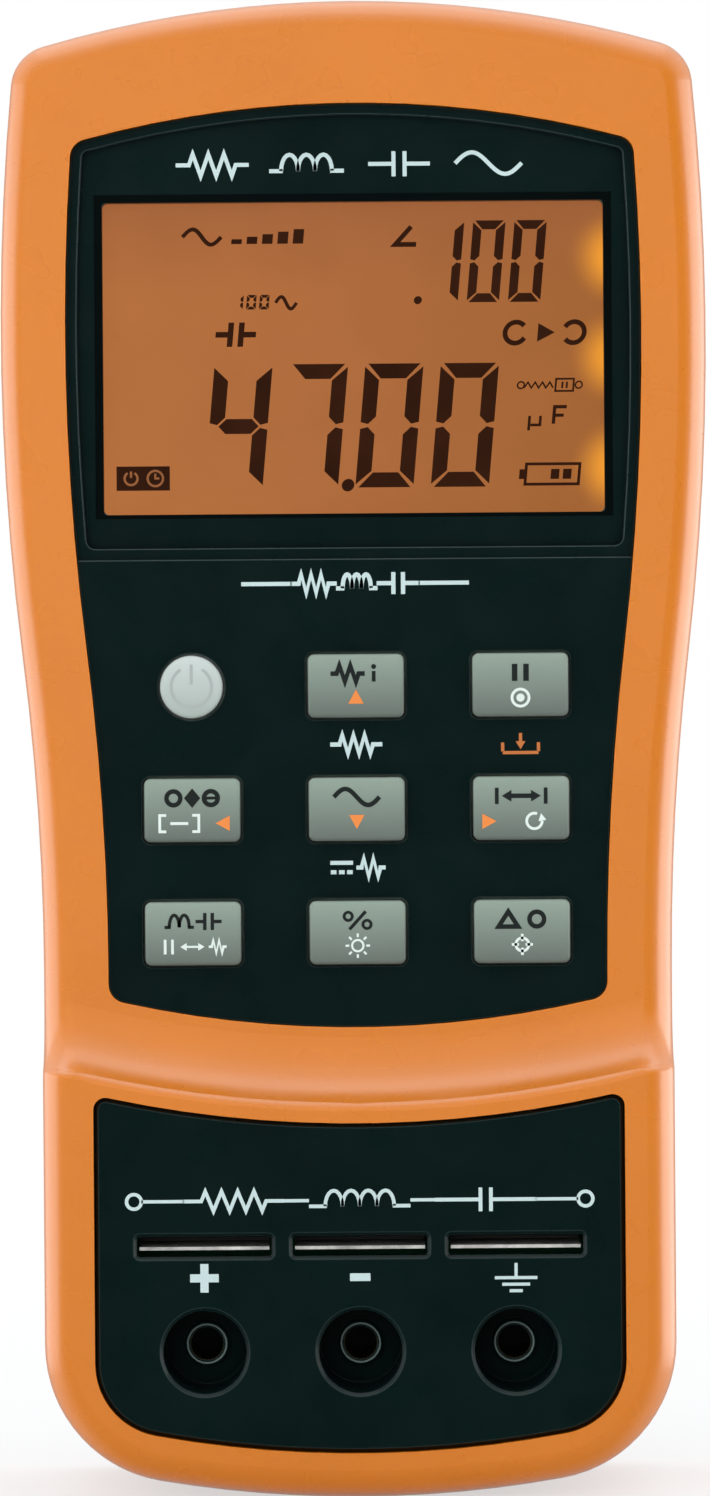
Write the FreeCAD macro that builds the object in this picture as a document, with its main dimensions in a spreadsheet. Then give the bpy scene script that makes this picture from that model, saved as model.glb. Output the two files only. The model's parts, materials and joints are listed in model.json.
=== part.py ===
"""Handheld LCR meter as separate pieces: overmoulded case halves, terminal block, display stack, nine keys,
circuit board, 9 V battery, battery cover and tilt stand.

Millimetres. X is the meter's right seen from the front, +Z is up the meter, the front faces -Y. The origin
is the bottom centre of the case. A "level" is a distance forward of the mid plane, so level 20.5 is y = -20.5.
"""
import FreeCAD
import Part
import Sketcher
import math
import os
from types import SimpleNamespace

from FreeCAD import Vector

DIMENSIONS = [
    # case
    ("case_width", 87.0), ("case_height", 184.0), ("case_depth", 41.0),
    ("waist_half", 38.75), ("widest_height", 142.8), ("side_radius", 324.5),
    ("top_radius", 137.5), ("top_corner", 5.5), ("least_corner", 1.5),
    ("bottom_radius", 144.0), ("bottom_corner", 17.0),
    ("head_drop", 5.0), ("edge_round", 3.6), ("back_round", 3.2),
    ("crease_height", 48.2), ("crease_radius", 147.0), ("ramp_length", 8.1), ("crease_round", 1.2),
    ("rubber_thick", 2.4), ("wall_inset", 4.6), ("bond_gap", 0.05),
    ("parting_level", -4.0), ("parting_gap", 0.1),
    # upper panel, standing in the front opening
    ("panel_inset", 8.2), ("panel_top", 171.05), ("panel_top_radius", 128.0),
    ("panel_bottom", 57.65), ("panel_bottom_radius", 131.0), ("panel_corner", 2.2), ("panel_gap", 0.12),
    ("keypad_level", 15.0), ("panel_back_level", 12.0),
    ("rim_level", 14.6), ("rim_bottom", 115.1), ("rim_width", 1.2), ("rim_inner_bottom", 116.5),
    ("bezel_level", 13.6),
    ("view_width", 61.7), ("view_height", 38.4), ("view_centre", 139.95), ("view_corner", 0.7),
    # terminal panel
    ("terminal_half", 32.3), ("terminal_top", 45.85), ("terminal_top_radius", 144.0),
    ("terminal_bottom", 5.85), ("terminal_bottom_radius", 138.0),
    ("terminal_corner", 8.8), ("terminal_top_corner", 1.3), ("terminal_gap", 0.18),
    ("terminal_level", 20.1), ("terminal_thick", 2.0), ("terminal_chamfer", 0.4),
    ("terminal_pitch", 19.05), ("slot_height", 31.05), ("slot_wide", 16.5), ("slot_tall", 2.5),
    ("socket_height", 18.1), ("well_diameter", 10.2), ("well_wall", 1.2), ("well_floor_level", 6.1),
    ("well_floor_thick", 0.8),
    ("sleeve_level", 7.65), ("sleeve_front", 4.8), ("sleeve_back", 5.6), ("sleeve_flange", 8.4),
    ("plug_bore", 4.04), ("sleeve_end_level", -4.0), ("sleeve_play", 0.03),
    ("post_level", 8.3), ("post_diameter", 5.6), ("post_edge", 0.25), ("post_mouth", 4.14),
    ("contact_wide", 15.9), ("contact_thick", 0.4), ("contact_level", 18.9), ("contact_hidden_level", 11.9),
    ("contact_low_z", -0.3), ("contact_high_z", 0.35), ("contact_tail", 10.0), ("tail_reach", 1.2),
    # keys
    ("key_wide", 11.8), ("key_tall", 7.8), ("key_corner", 0.8), ("key_gap", 0.3), ("key_level", 16.4),
    ("key_edge", 0.45), ("key_pitch_x", 20.2), ("key_pitch_z", 15.15), ("key_row", 84.35),
    ("flange_extra", 0.8), ("flange_level", 11.95), ("flange_thick", 0.95),
    ("plunger_diameter", 3.0), ("plunger_end_level", 7.35), ("power_diameter", 7.7),
    # display stack
    ("gasket_level", 11.98), ("gasket_thick", 0.38), ("glass_wide", 66.0), ("glass_tall", 42.0),
    ("window_level", 11.55), ("window_thick", 1.2), ("lcd_level", 10.25), ("lcd_thick", 2.0),
    ("lcd_wide", 65.0), ("lcd_tall", 41.2), ("frame_wide", 69.2), ("frame_tall", 44.0),
    ("frame_level", 10.3),
    ("guide_level", 8.2), ("guide_thick", 1.6), ("guide_wide", 62.0), ("guide_tall", 36.8),
    ("zebra_tall", 2.0), ("led_strip_wide", 1.6),
    # circuit board
    ("board_level", 6.0), ("board_thick", 1.6), ("board_inset", 6.0), ("solder_gap", 0.05),
    ("mat_thick", 1.0), ("mat_wide", 55.0), ("mat_tall", 43.6), ("cone_level", 8.8), ("cone_base", 9.0),
    ("board_screw_top_x", 22.0), ("board_screw_top_z", 168.5),
    ("board_screw_low_x", 28.5), ("board_screw_low_z", 58.5), ("board_post", 6.0),
    ("case_screw_top_x", 31.5), ("case_screw_top_z", 166.0),
    ("case_screw_low_x", 28.0), ("case_screw_low_z", 24.0), ("front_post", 6.4), ("rear_post", 9.0),
    ("post_meet_level", -2.0), ("case_screw_bore", 3.04), ("head_bore", 6.4), ("head_seat_level", -7.3),
    # rear housing
    ("rear_panel_inset", 7.0), ("rear_face_level", -20.0), ("rear_wall_level", -14.2),
    ("stand_wide", 50.0), ("stand_low", 86.0), ("hinge_height", 150.0), ("hinge_level", -18.1),
    ("stand_thick", 3.7), ("stand_corner", 6.0), ("stand_gap", 0.3), ("stand_floor_level", -16.1),
    ("pin_diameter", 2.0), ("pin_reach", 2.7), ("finger_radius", 7.0),
    ("cover_wide", 46.0), ("cover_low", 20.2), ("cover_high", 81.8), ("cover_thick", 2.2),
    ("cover_gap", 0.15), ("cover_corner", 3.0), ("cover_screw_x", 19.6), ("cover_screw_z", 51.0),
    ("cell_wide", 26.5), ("cell_long", 45.6), ("cell_deep", 17.5), ("cell_low", 24.4),
    ("cell_front_level", 0.5),
    ("bay_wall", 1.6), ("bay_high", 77.7), ("foam_thick", 0.72), ("insert_diameter", 4.6),
    ("jacket_wall", 0.4), ("jacket_corner", 2.0), ("cell_end", 1.3),
    ("male_snap", 5.7), ("female_snap", 8.2), ("snap_offset", 6.4), ("snap_tall", 2.9),
    # power inlet on the right side
    ("jack_height", 45.4), ("jack_level", 9.9), ("jack_tall", 7.6), ("jack_long", 11.5), ("jack_nose", 6.6),
    ("jack_bore", 5.7), ("jack_pin", 2.0), ("jack_dish", 9.6),
    # parts on the back of the board
    ("chip_x", -9.0), ("chip_z", 102.0), ("chip_side", 12.0), ("chip_tall", 1.5),
    ("leg_pitch", 0.95), ("leg_long", 1.24), ("leg_wide", 0.4), ("leg_offset", 6.7),
    ("shield_x", 14.0), ("shield_z", 103.0), ("shield_wide", 22.0), ("shield_high", 18.0),
    ("shield_tall", 3.0),
    ("buzzer_x", -22.0), ("buzzer_z", 148.0), ("buzzer_diameter", 12.0), ("buzzer_tall", 6.5),
    ("buzzer_port", 2.2),
    ("crystal_z", 118.0), ("crystal_long", 10.8), ("crystal_wide", 4.4), ("crystal_tall", 3.4),
    ("can_x", 14.0), ("can_z", 150.0), ("can_step", 8.5), ("can_radius", 3.3), ("can_tall", 7.7),
    ("small_x", 6.5), ("small_z", 128.0), ("small_step", 3.2), ("small_long", 2.0), ("small_wide", 1.24),
    # screws
    ("case_head", 5.6), ("case_head_tall", 2.15), ("case_shank", 2.96), ("case_tip_level", 8.4),
    ("board_head", 4.2), ("board_head_tall", 1.6), ("board_shank", 2.16), ("board_tip_level", 9.6),
    ("cover_head", 5.2), ("cover_head_tall", 1.15), ("cover_shank", 2.6), ("cover_tip_level", -11.0),
    ("recess_wide", 0.6), ("recess_share", 0.62), ("recess_deep", 0.9),
]


class Size:
    """A length holding both its spreadsheet expression and its value in millimetres."""

    def __init__(self, text, value):
        self.text = text
        self.value = float(value)

    def __add__(self, other):
        other = sized(other)
        return Size(f"({self.text} + {other.text})", self.value + other.value)

    def __sub__(self, other):
        other = sized(other)
        return Size(f"({self.text} - {other.text})", self.value - other.value)

    def __mul__(self, factor):
        return Size(f"({self.text} * {factor})", self.value * factor)

    def __truediv__(self, factor):
        return Size(f"({self.text} / {factor})", self.value / factor)

    def __neg__(self):
        return Size(f"(0 - {self.text})", -self.value)


def sized(value):
    return value if isinstance(value, Size) else Size(repr(float(value)), value)


doc = FreeCAD.newDocument("lcr_meter")
sheet = doc.addObject("Spreadsheet::Sheet", "Dimensions")
for row, (alias, number) in enumerate(DIMENSIONS, start=1):
    sheet.set(f"A{row}", alias)
    sheet.set(f"B{row}", str(number))
    sheet.setAlias(f"B{row}", alias)
doc.recompute()
d = SimpleNamespace(**{alias: Size(f"Dimensions.{alias}", sheet.get(alias)) for alias, _ in DIMENSIONS})
v = SimpleNamespace(**{alias: float(sheet.get(alias)) for alias, _ in DIMENSIONS})

SUBPARTS = {}


# ------------------------------------------------------------------------------------- sketch features
def bind(target, **expressions):
    """Bind properties to sizes; a double underscore in the keyword stands for a dot."""
    for name, value in expressions.items():
        target.setExpression(name.replace("__", "."), sized(value).text)


def new_body(label):
    body = doc.addObject("PartDesign::Body", label)
    SUBPARTS[label] = body
    return body


def new_sketch(body, name, across, up, level, plane="XZ_Plane"):
    """An empty sketch whose own origin lies at (across, up) on a plane of the body moved to the level."""
    support = next(item for item in body.Origin.OriginFeatures if item.Role == plane)
    made = body.newObject("Sketcher::SketchObject", name)
    made.AttachmentSupport = [(support, "")]
    made.MapMode = "FlatFace"
    bind(made, AttachmentOffset__Base__x=across, AttachmentOffset__Base__y=up,
         AttachmentOffset__Base__z=level)
    return made


def constrain(sketch, value, *arguments):
    value = sized(value)
    index = sketch.addConstraint(Sketcher.Constraint(*arguments, value.value))
    sketch.setExpression(f"Constraints[{index}]", value.text)


def relate(sketch, *arguments):
    sketch.addConstraint(Sketcher.Constraint(*arguments))


def draw_circle(sketch, diameter):
    diameter = sized(diameter)
    ring = sketch.addGeometry(Part.Circle(Vector(0, 0, 0), Vector(0, 0, 1), diameter.value / 2))
    relate(sketch, "Coincident", ring, 3, -1, 1)
    constrain(sketch, diameter, "Diameter", ring)


def draw_rectangle(sketch, width, height, radius):
    """A rounded rectangle centred on the sketch origin."""
    width, height, radius = sized(width), sized(height), sized(radius)
    w, h, r = width.value / 2, height.value / 2, radius.value
    ends = [
        ((r - w, -h), (w - r, -h)), ((w, r - h), (w, h - r)),
        ((w - r, h), (r - w, h)), ((-w, h - r), (-w, r - h)),
    ]
    lines = [sketch.addGeometry(Part.LineSegment(Vector(*a, 0), Vector(*b, 0))) for a, b in ends]
    arcs = []
    for quarter, (x, y) in enumerate([(w - r, r - h), (w - r, h - r), (r - w, h - r), (r - w, r - h)]):
        circle = Part.Circle(Vector(x, y, 0), Vector(0, 0, 1), r)
        start = (quarter - 1) * math.pi / 2
        arcs.append(sketch.addGeometry(Part.ArcOfCircle(circle, start, start + math.pi / 2)))
    for side in range(4):
        relate(sketch, "Tangent", lines[side], 2, arcs[side], 1)
        relate(sketch, "Tangent", arcs[side], 2, lines[(side + 1) % 4], 1)
        relate(sketch, "Vertical" if side % 2 else "Horizontal", lines[side])
    for arc in arcs[1:]:
        relate(sketch, "Equal", arcs[0], arc)
    relate(sketch, "Symmetric", lines[0], 1, lines[2], 1, -1, 1)
    constrain(sketch, radius, "Radius", arcs[0])
    constrain(sketch, width, "DistanceX", lines[3], 1, lines[1], 1)
    constrain(sketch, height, "DistanceY", lines[0], 1, lines[2], 1)


def draw_polygon(sketch, points):
    """A closed polygon whose every corner is held to its two sizes."""
    points = [(sized(a), sized(b)) for a, b in points]
    corners = [Vector(a.value, b.value, 0) for a, b in points]
    count = len(corners)
    lines = [sketch.addGeometry(Part.LineSegment(corners[i], corners[(i + 1) % count])) for i in range(count)]
    for i in range(count):
        relate(sketch, "Coincident", lines[i - 1], 2, lines[i], 1)
        for axis, kind, value in ((-2, "DistanceX", points[i][0]), (-1, "DistanceY", points[i][1])):
            if value.value == 0:
                relate(sketch, "PointOnObject", lines[i], 1, axis)
            else:
                constrain(sketch, value, kind, -1, 1, lines[i], 1)


def pad(body, name, sketch, length):
    made = body.newObject("PartDesign::Pad", name)
    made.Profile = sketch
    bind(made, Length=length)
    body.Tip = made
    return made


def pocket(body, name, sketch, length):
    made = body.newObject("PartDesign::Pocket", name)
    made.Profile = sketch
    bind(made, Length=length)
    body.Tip = made
    return made


def slab(body, name, centre, levels, size, corner=0.5):
    """A rounded plate standing on the back level and reaching the front level."""
    (x, z), (back, front), (width, height) = centre, levels, size
    profile = new_sketch(body, name + "_sketch", x, z, back)
    draw_rectangle(profile, width, height, corner)
    return pad(body, name, profile, sized(front) - back)


def peg(body, name, centre, levels, diameter):
    (x, z), (back, front) = centre, levels
    profile = new_sketch(body, name + "_sketch", x, z, back)
    draw_circle(profile, diameter)
    return pad(body, name, profile, sized(front) - back)


def slab_hole(body, name, centre, levels, size, corner=0.5):
    """A rounded opening cut from the front level back to the back level."""
    (x, z), (back, front), (width, height) = centre, levels, size
    profile = new_sketch(body, name + "_sketch", x, z, front)
    draw_rectangle(profile, width, height, corner)
    return pocket(body, name, profile, sized(front) - back)


def peg_hole(body, name, centre, levels, diameter):
    (x, z), (back, front) = centre, levels
    profile = new_sketch(body, name + "_sketch", x, z, front)
    draw_circle(profile, diameter)
    return pocket(body, name, profile, sized(front) - back)


def round_face(body, name, level, radius, kind="PartDesign::Fillet"):
    """Round or chamfer every edge of the face lying on the level."""
    doc.recompute()
    base = body.Tip
    found = [
        f"Face{i}" for i, face in enumerate(base.Shape.Faces, start=1)
        if abs(face.BoundBox.YMin + level) < 1e-4 and abs(face.BoundBox.YMax + level) < 1e-4
    ]
    made = body.newObject(kind, name)
    made.Base = (base, found)
    bind(made, **{"Radius" if kind.endswith("Fillet") else "Size": radius})
    body.Tip = made
    return made


def lathe(label, points, keep=True):
    """A body turned about an axis along Y from (radius, level) corners."""
    body = new_body(label)
    if not keep:
        SUBPARTS.pop(label)
    profile = new_sketch(body, label + "_profile", 0, 0, 0, plane="XY_Plane")
    draw_polygon(profile, [(radius, -sized(level)) for radius, level in points])
    turned = body.newObject("PartDesign::Revolution", label + "_turned")
    turned.Profile = profile
    turned.ReferenceAxis = (profile, ["V_Axis"])
    turned.Angle = 360
    body.Tip = turned
    return body


# ------------------------------------------------------------------------------------- plain shapes
def shape_part(label, shape):
    made = doc.addObject("Part::Feature", label)
    made.Shape = shape
    SUBPARTS[label] = made
    return made


def block(x_range, z_range, levels):
    (x0, x1), (z0, z1), (back, front) = x_range, z_range, levels
    return Part.makeBox(x1 - x0, front - back, z1 - z0, Vector(x0, -front, z0))


def rod(x, z, radius, levels):
    back, front = levels
    return Part.makeCylinder(radius, front - back, Vector(x, -back, z), Vector(0, -1, 0))


def fused(shapes):
    return shapes[0].multiFuse(shapes[1:]).removeSplitter()


def repeated(label, seed, centres):
    """One node holding a copy of the seed at each (x, z)."""
    doc.recompute()
    return shape_part(label, Part.makeCompound([seed.Shape.translated(Vector(x, 0, z)) for x, z in centres]))


def cross_cut(seed, reach, back_level, deep):
    """The seed screw with a cross-shaped driver recess sunk into its head from the back."""
    doc.recompute()
    levels = (back_level - 1, back_level + deep)
    thin = (-v.recess_wide / 2, v.recess_wide / 2)
    long = (-reach, reach)
    return seed.Shape.cut(block(thin, long, levels)).cut(block(long, thin, levels))


def copies(label, shape, centres):
    """One node holding a copy of a shape at each (x, z)."""
    return shape_part(label, Part.makeCompound([shape.translated(Vector(x, 0, z)) for x, z in centres]))


def both_sides(x, z):
    return [(-x, z), (x, z)]


def rounded_edges(solid, radius, chosen):
    return solid.makeFillet(radius, [edge for edge in solid.Edges if chosen(edge)])


def runs_along_y(edge):
    box = edge.BoundBox
    return box.XLength < 1e-6 and box.ZLength < 1e-6


def lies_on(level):
    return lambda edge: abs(edge.BoundBox.YMin + level) < 1e-5 and abs(edge.BoundBox.YMax + level) < 1e-5


# ------------------------------------------------------------------------------------- case outline
def arc(centre, radius, start, end):
    def point(angle):
        return Vector(centre[0] + radius * math.cos(angle), 0, centre[1] + radius * math.sin(angle))

    return Part.Arc(point(start), point((start + end) / 2), point(end)).toShape()


def rounding_centre(big, big_radius, side, side_radius):
    """The upper right crossing of two circles, where a corner arc tangent to both has its centre."""
    across, up = side[0] - big[0], side[1] - big[1]
    apart = math.hypot(across, up)
    along = (big_radius ** 2 - side_radius ** 2 + apart ** 2) / (2 * apart)
    off = math.sqrt(big_radius ** 2 - along ** 2)
    crossings = []
    for turn in (off, -off):
        crossings.append((big[0] + (along * across + turn * up) / apart,
                          big[1] + (along * up - turn * across) / apart))
    return max(crossings)


def bearing(centre, point):
    return math.atan2(point[1] - centre[1], point[0] - centre[0])


def outline(inset):
    """The waisted case outline moved in: bottom arc, corner, straight side, two side arcs, corner, top arc."""
    widest = v.case_width / 2
    swing = math.acos(1 - (widest - v.waist_half) / (2 * v.side_radius))
    waist_height = v.widest_height - 2 * v.side_radius * math.sin(swing)
    top = (0, v.case_height - v.top_radius)
    bottom = (0, v.bottom_radius)
    bulge = (widest - v.side_radius, v.widest_height)
    waist = (v.waist_half + v.side_radius, waist_height)
    low = v.bottom_radius - v.bottom_corner
    low_x = v.waist_half - v.bottom_corner
    low_corner = (low_x, v.bottom_radius - math.sqrt(low ** 2 - low_x ** 2))
    corner = max(v.top_corner - inset, v.least_corner)
    high_corner = rounding_centre(top, v.top_radius - inset - corner, bulge, v.side_radius - inset - corner)
    low_angle = bearing(bottom, low_corner)
    side_angle = bearing(bulge, high_corner)
    top_angle = bearing(top, high_corner)
    side_x = v.waist_half - inset
    right = [
        arc(bottom, v.bottom_radius - inset, -math.pi / 2, low_angle),
        arc(low_corner, v.bottom_corner - inset, low_angle, 0),
        Part.makeLine(Vector(side_x, 0, low_corner[1]), Vector(side_x, 0, waist_height)),
        arc(waist, v.side_radius + inset, math.pi, math.pi - swing),
        arc(bulge, v.side_radius - inset, -swing, side_angle),
        arc(high_corner, corner, side_angle, top_angle),
        arc(top, v.top_radius - inset, top_angle, math.pi / 2),
    ]
    left = [edge.mirror(Vector(0, 0, 0), Vector(1, 0, 0)) for edge in right]
    return Part.Wire(Part.__sortEdges__(right + left))


def outline_solid(inset, back, front):
    face = Part.Face(outline(inset))
    face.translate(Vector(0, -back, 0))
    return face.extrude(Vector(0, back - front, 0))


BLOCK_LEVEL = v.case_depth / 2
HEAD_LEVEL = BLOCK_LEVEL - v.head_drop
RAMP_AXIS = v.crease_height + v.crease_radius


def ramp_cutter(inset):
    """All in front of the head and ramp, moved back by the inset; turned about the crease's own axis."""
    ramp_round = (v.ramp_length ** 2 + v.head_drop ** 2) / (2 * v.head_drop)
    start = v.crease_radius - v.ramp_length
    centre_level = HEAD_LEVEL + ramp_round
    radius = ramp_round + inset
    swing = math.acos((centre_level - BLOCK_LEVEL + inset) / radius)

    def point(distance, level):
        return Vector(0, -level, RAMP_AXIS - distance)

    def on_ramp(angle):
        return point(start + radius * math.sin(angle), centre_level - radius * math.cos(angle))

    reach = 10.0
    lip = on_ramp(swing)
    beyond = lip + Vector(0, -reach * math.sin(swing), -reach * math.cos(swing))
    axis_front = Vector(0, beyond.y, RAMP_AXIS)
    axis_back = point(0, HEAD_LEVEL - inset)
    profile = Part.Wire([
        Part.makeLine(axis_back, on_ramp(0)),
        Part.Arc(on_ramp(0), on_ramp(swing / 2), lip).toShape(),
        Part.makeLine(lip, beyond),
        Part.makeLine(beyond, axis_front),
        Part.makeLine(axis_front, axis_back),
    ])
    return Part.Face(profile).revolve(Vector(0, 0, RAMP_AXIS), Vector(0, 1, 0), 360)


def front_solid(inset):
    return outline_solid(inset, v.parting_level, BLOCK_LEVEL - inset).cut(ramp_cutter(inset))


def panel_solid(inset, back, front):
    """The upper panel: the case sides moved in, closed by a top arc and a sagging bottom arc."""
    solid = outline_solid(v.panel_inset + inset, back, front)
    for centre, radius in (
        (v.panel_top - v.panel_top_radius, v.panel_top_radius - inset),
        (v.panel_bottom + v.panel_bottom_radius, v.panel_bottom_radius - inset),
    ):
        solid = solid.common(rod(0, centre, radius, (back, front)))
    return rounded_edges(solid.removeSplitter(), max(v.panel_corner - inset, 0.5), runs_along_y)


def rim_solid(inset, bottom, back, front):
    """The part of the upper panel above the keypad, with its lower edge straight and its corners rounded."""
    upper = block((-v.case_width, v.case_width), (bottom, v.case_height), (back, front))
    return panel_solid(inset, back, front).common(upper).removeSplitter()


def terminal_solid(inset, back, front):
    """The terminal panel: straight sides, a sagging top arc that follows the crease, and a bottom arc."""
    half = v.terminal_half - inset
    solid = block((-half, half), (0, v.crease_height + 10), (back, front))
    solid = solid.common(rod(0, v.terminal_bottom + v.terminal_bottom_radius,
                             v.terminal_bottom_radius - inset, (back, front)))
    solid = solid.cut(rod(0, v.terminal_top + v.terminal_top_radius, v.terminal_top_radius + inset,
                          (back, front)))
    solid = solid.removeSplitter()
    middle = (v.terminal_bottom + v.terminal_top) / 2

    def low_corner(edge):
        return runs_along_y(edge) and edge.BoundBox.ZMax < middle

    def high_corner(edge):
        return runs_along_y(edge) and edge.BoundBox.ZMax > middle

    solid = rounded_edges(solid, v.terminal_corner - inset, low_corner)
    return rounded_edges(solid, max(v.terminal_top_corner - inset, 0.4), high_corner)


# ------------------------------------------------------------------------------------- shared positions
TERMINALS = [-v.terminal_pitch, 0.0, v.terminal_pitch]
CASE_SCREWS = both_sides(v.case_screw_top_x, v.case_screw_top_z)
CASE_SCREWS += both_sides(v.case_screw_low_x, v.case_screw_low_z)
BOARD_SCREWS = both_sides(v.board_screw_top_x, v.board_screw_top_z)
BOARD_SCREWS += both_sides(v.board_screw_low_x, v.board_screw_low_z)
COVER_SCREWS = both_sides(v.cover_screw_x, v.cover_screw_z)
BOARD_BACK = v.board_level - v.board_thick
KEY_NAMES = [
    ("key_power", "key_auto", "key_mode"),
    ("key_left", "key_down", "key_right"),
    ("key_null", "key_light", "key_delta"),
]
KEYS = {
    name: ((column - 1) * v.key_pitch_x, v.key_row + (1 - row) * v.key_pitch_z)
    for row, names in enumerate(KEY_NAMES) for column, name in enumerate(names)
}


# ------------------------------------------------------------------------------------- case, front half
def make_front_overmold():
    """The soft orange bumper: head, concave ramp and raised terminal block, open over the two dark panels."""
    solid = front_solid(0)
    crease = [
        edge for edge in solid.Edges
        if lies_on(BLOCK_LEVEL)(edge) and abs(getattr(edge.Curve, "Radius", 0) - v.crease_radius) < 1e-3
    ]
    solid = solid.makeFillet(v.crease_round, crease)

    def on_front_rim(edge):
        box = edge.BoundBox
        middle = edge.valueAt((edge.FirstParameter + edge.LastParameter) / 2)
        at_rim = abs(middle.x) > v.waist_half - 0.3 or not 20 < middle.z < v.case_height - 8
        return box.YMax < 0.1 - HEAD_LEVEL and at_rim

    solid = rounded_edges(solid, v.edge_round, on_front_rim)
    solid = solid.cut(front_solid(v.rubber_thick))
    solid = solid.cut(panel_solid(-v.panel_gap, 0, BLOCK_LEVEL))
    solid = solid.cut(terminal_solid(-v.terminal_gap, 0, BLOCK_LEVEL + 1))
    solid = solid.cut(jack_dish())
    shape_part("front_overmold", solid)


def jack_bore():
    """A round hole along X that clears the inlet nose."""
    start = Vector(v.waist_half - v.rubber_thick - 6, -v.jack_level, v.jack_height)
    return Part.makeCylinder(v.jack_nose / 2 + 0.25, 12, start, Vector(1, 0, 0))


def jack_dish():
    """A tapered dish in the right side, wide at the skin, running into the inlet bore."""
    deep = v.rubber_thick + 0.2
    start = Vector(v.waist_half - deep, -v.jack_level, v.jack_height)
    cone = Part.makeCone(v.jack_nose / 2 + 0.25, v.jack_dish / 2, deep, start, Vector(1, 0, 0))
    return cone.fuse(jack_bore())


def make_front_housing():
    """The rigid dark front shell: keypad face, stepped display frame, key openings and inner posts."""
    skin = v.rubber_thick + v.bond_gap
    solid = front_solid(skin).fuse(panel_solid(0, 0, v.keypad_level))
    solid = solid.cut(front_solid(v.wall_inset)).cut(panel_solid(2.2, v.parting_level, v.panel_back_level))
    solid = solid.cut(rim_solid(-0.5, v.rim_bottom, v.rim_level, v.keypad_level + 1))
    dish = rim_solid(v.rim_width, v.rim_inner_bottom, v.bezel_level, v.keypad_level + 1)

    def low_corner(edge):
        return runs_along_y(edge) and edge.BoundBox.ZMax < v.view_centre

    solid = solid.cut(rounded_edges(dish, v.rim_width, low_corner))
    view = plate_block((0, v.view_centre), (v.view_width, v.view_height), v.view_corner,
                       (v.panel_back_level - 1, v.keypad_level))
    solid = solid.cut(view)
    posts = []
    for x, z in CASE_SCREWS:
        roof = HEAD_LEVEL if z > v.crease_height else BLOCK_LEVEL
        posts.append(rod(x, z, v.front_post / 2, (v.post_meet_level, roof - 3)))
    for x, z in BOARD_SCREWS:
        posts.append(rod(x, z, v.board_post / 2, (v.board_level + v.solder_gap, HEAD_LEVEL - 3)))
    solid = fused([solid] + posts)
    holes = [rod(x, z, v.case_screw_bore / 2, (v.post_meet_level, 9.2)) for x, z in CASE_SCREWS]
    holes += [rod(x, z, 1.12, (v.board_level, 10.0)) for x, z in BOARD_SCREWS]
    through = (v.panel_back_level - 1, v.keypad_level + 1)
    opening = (v.key_wide + 2 * v.key_gap, v.key_tall + 2 * v.key_gap)
    for name, place in KEYS.items():
        if name == "key_power":
            holes.append(rod(*place, v.power_diameter / 2 + v.key_gap, through))
        else:
            holes.append(plate_block(place, opening, v.key_corner + v.key_gap, through))
    for x in TERMINALS:
        holes.append(rod(x, v.socket_height, v.well_diameter / 2 + v.well_wall + 0.1, (0, BLOCK_LEVEL)))
        holes.append(plate_block((x, v.slot_height), (v.slot_wide + 1, v.slot_tall + 1), 0.5,
                                 (0, BLOCK_LEVEL)))
    holes.append(jack_bore())
    window_pocket = plate_block((0, v.view_centre), (v.glass_wide + 0.4, v.glass_tall + 0.4), 0.8,
                                (v.board_level, v.panel_back_level))
    solid = solid.cut(window_pocket).cut(Part.makeCompound(holes))
    shape_part("front_housing", solid.removeSplitter())


def make_terminal_panel():
    """The dark terminal plate with three test slots and three deep wells, each floor holed for its post."""
    front = v.terminal_level
    back = front - v.terminal_thick
    solid = terminal_solid(0, back, front)
    bore = v.well_diameter / 2
    wells = [rod(x, v.socket_height, bore + v.well_wall, (v.well_floor_level, front)) for x in TERMINALS]
    solid = fused([solid] + wells)
    post = v.post_diameter / 2 + 0.1
    cuts = []
    for x in TERMINALS:
        cuts.append(rod(x, v.socket_height, bore, (v.well_floor_level + v.well_floor_thick, front + 1)))
        cuts.append(rod(x, v.socket_height, post, (v.well_floor_level - 1, front)))
        cuts.append(plate_block((x, v.slot_height), (v.slot_wide, v.slot_tall), 0.4, (back - 1, front + 1)))
    solid = solid.cut(Part.makeCompound(cuts)).removeSplitter()
    solid = solid.makeChamfer(v.terminal_chamfer, [edge for edge in solid.Edges if lies_on(front)(edge)])
    shape_part("terminal_panel", solid)


# ------------------------------------------------------------------------------------- case, rear half
def rear_solid(inset):
    return outline_solid(inset, inset - BLOCK_LEVEL, v.parting_level - v.parting_gap)


def make_rear_overmold():
    solid = rounded_edges(rear_solid(0), v.back_round, lies_on(-BLOCK_LEVEL))
    solid = solid.cut(rear_solid(v.rubber_thick))
    solid = solid.cut(outline_solid(v.rear_panel_inset, -BLOCK_LEVEL - 1, -BLOCK_LEVEL + 4))
    shape_part("rear_overmold", solid)


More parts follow.
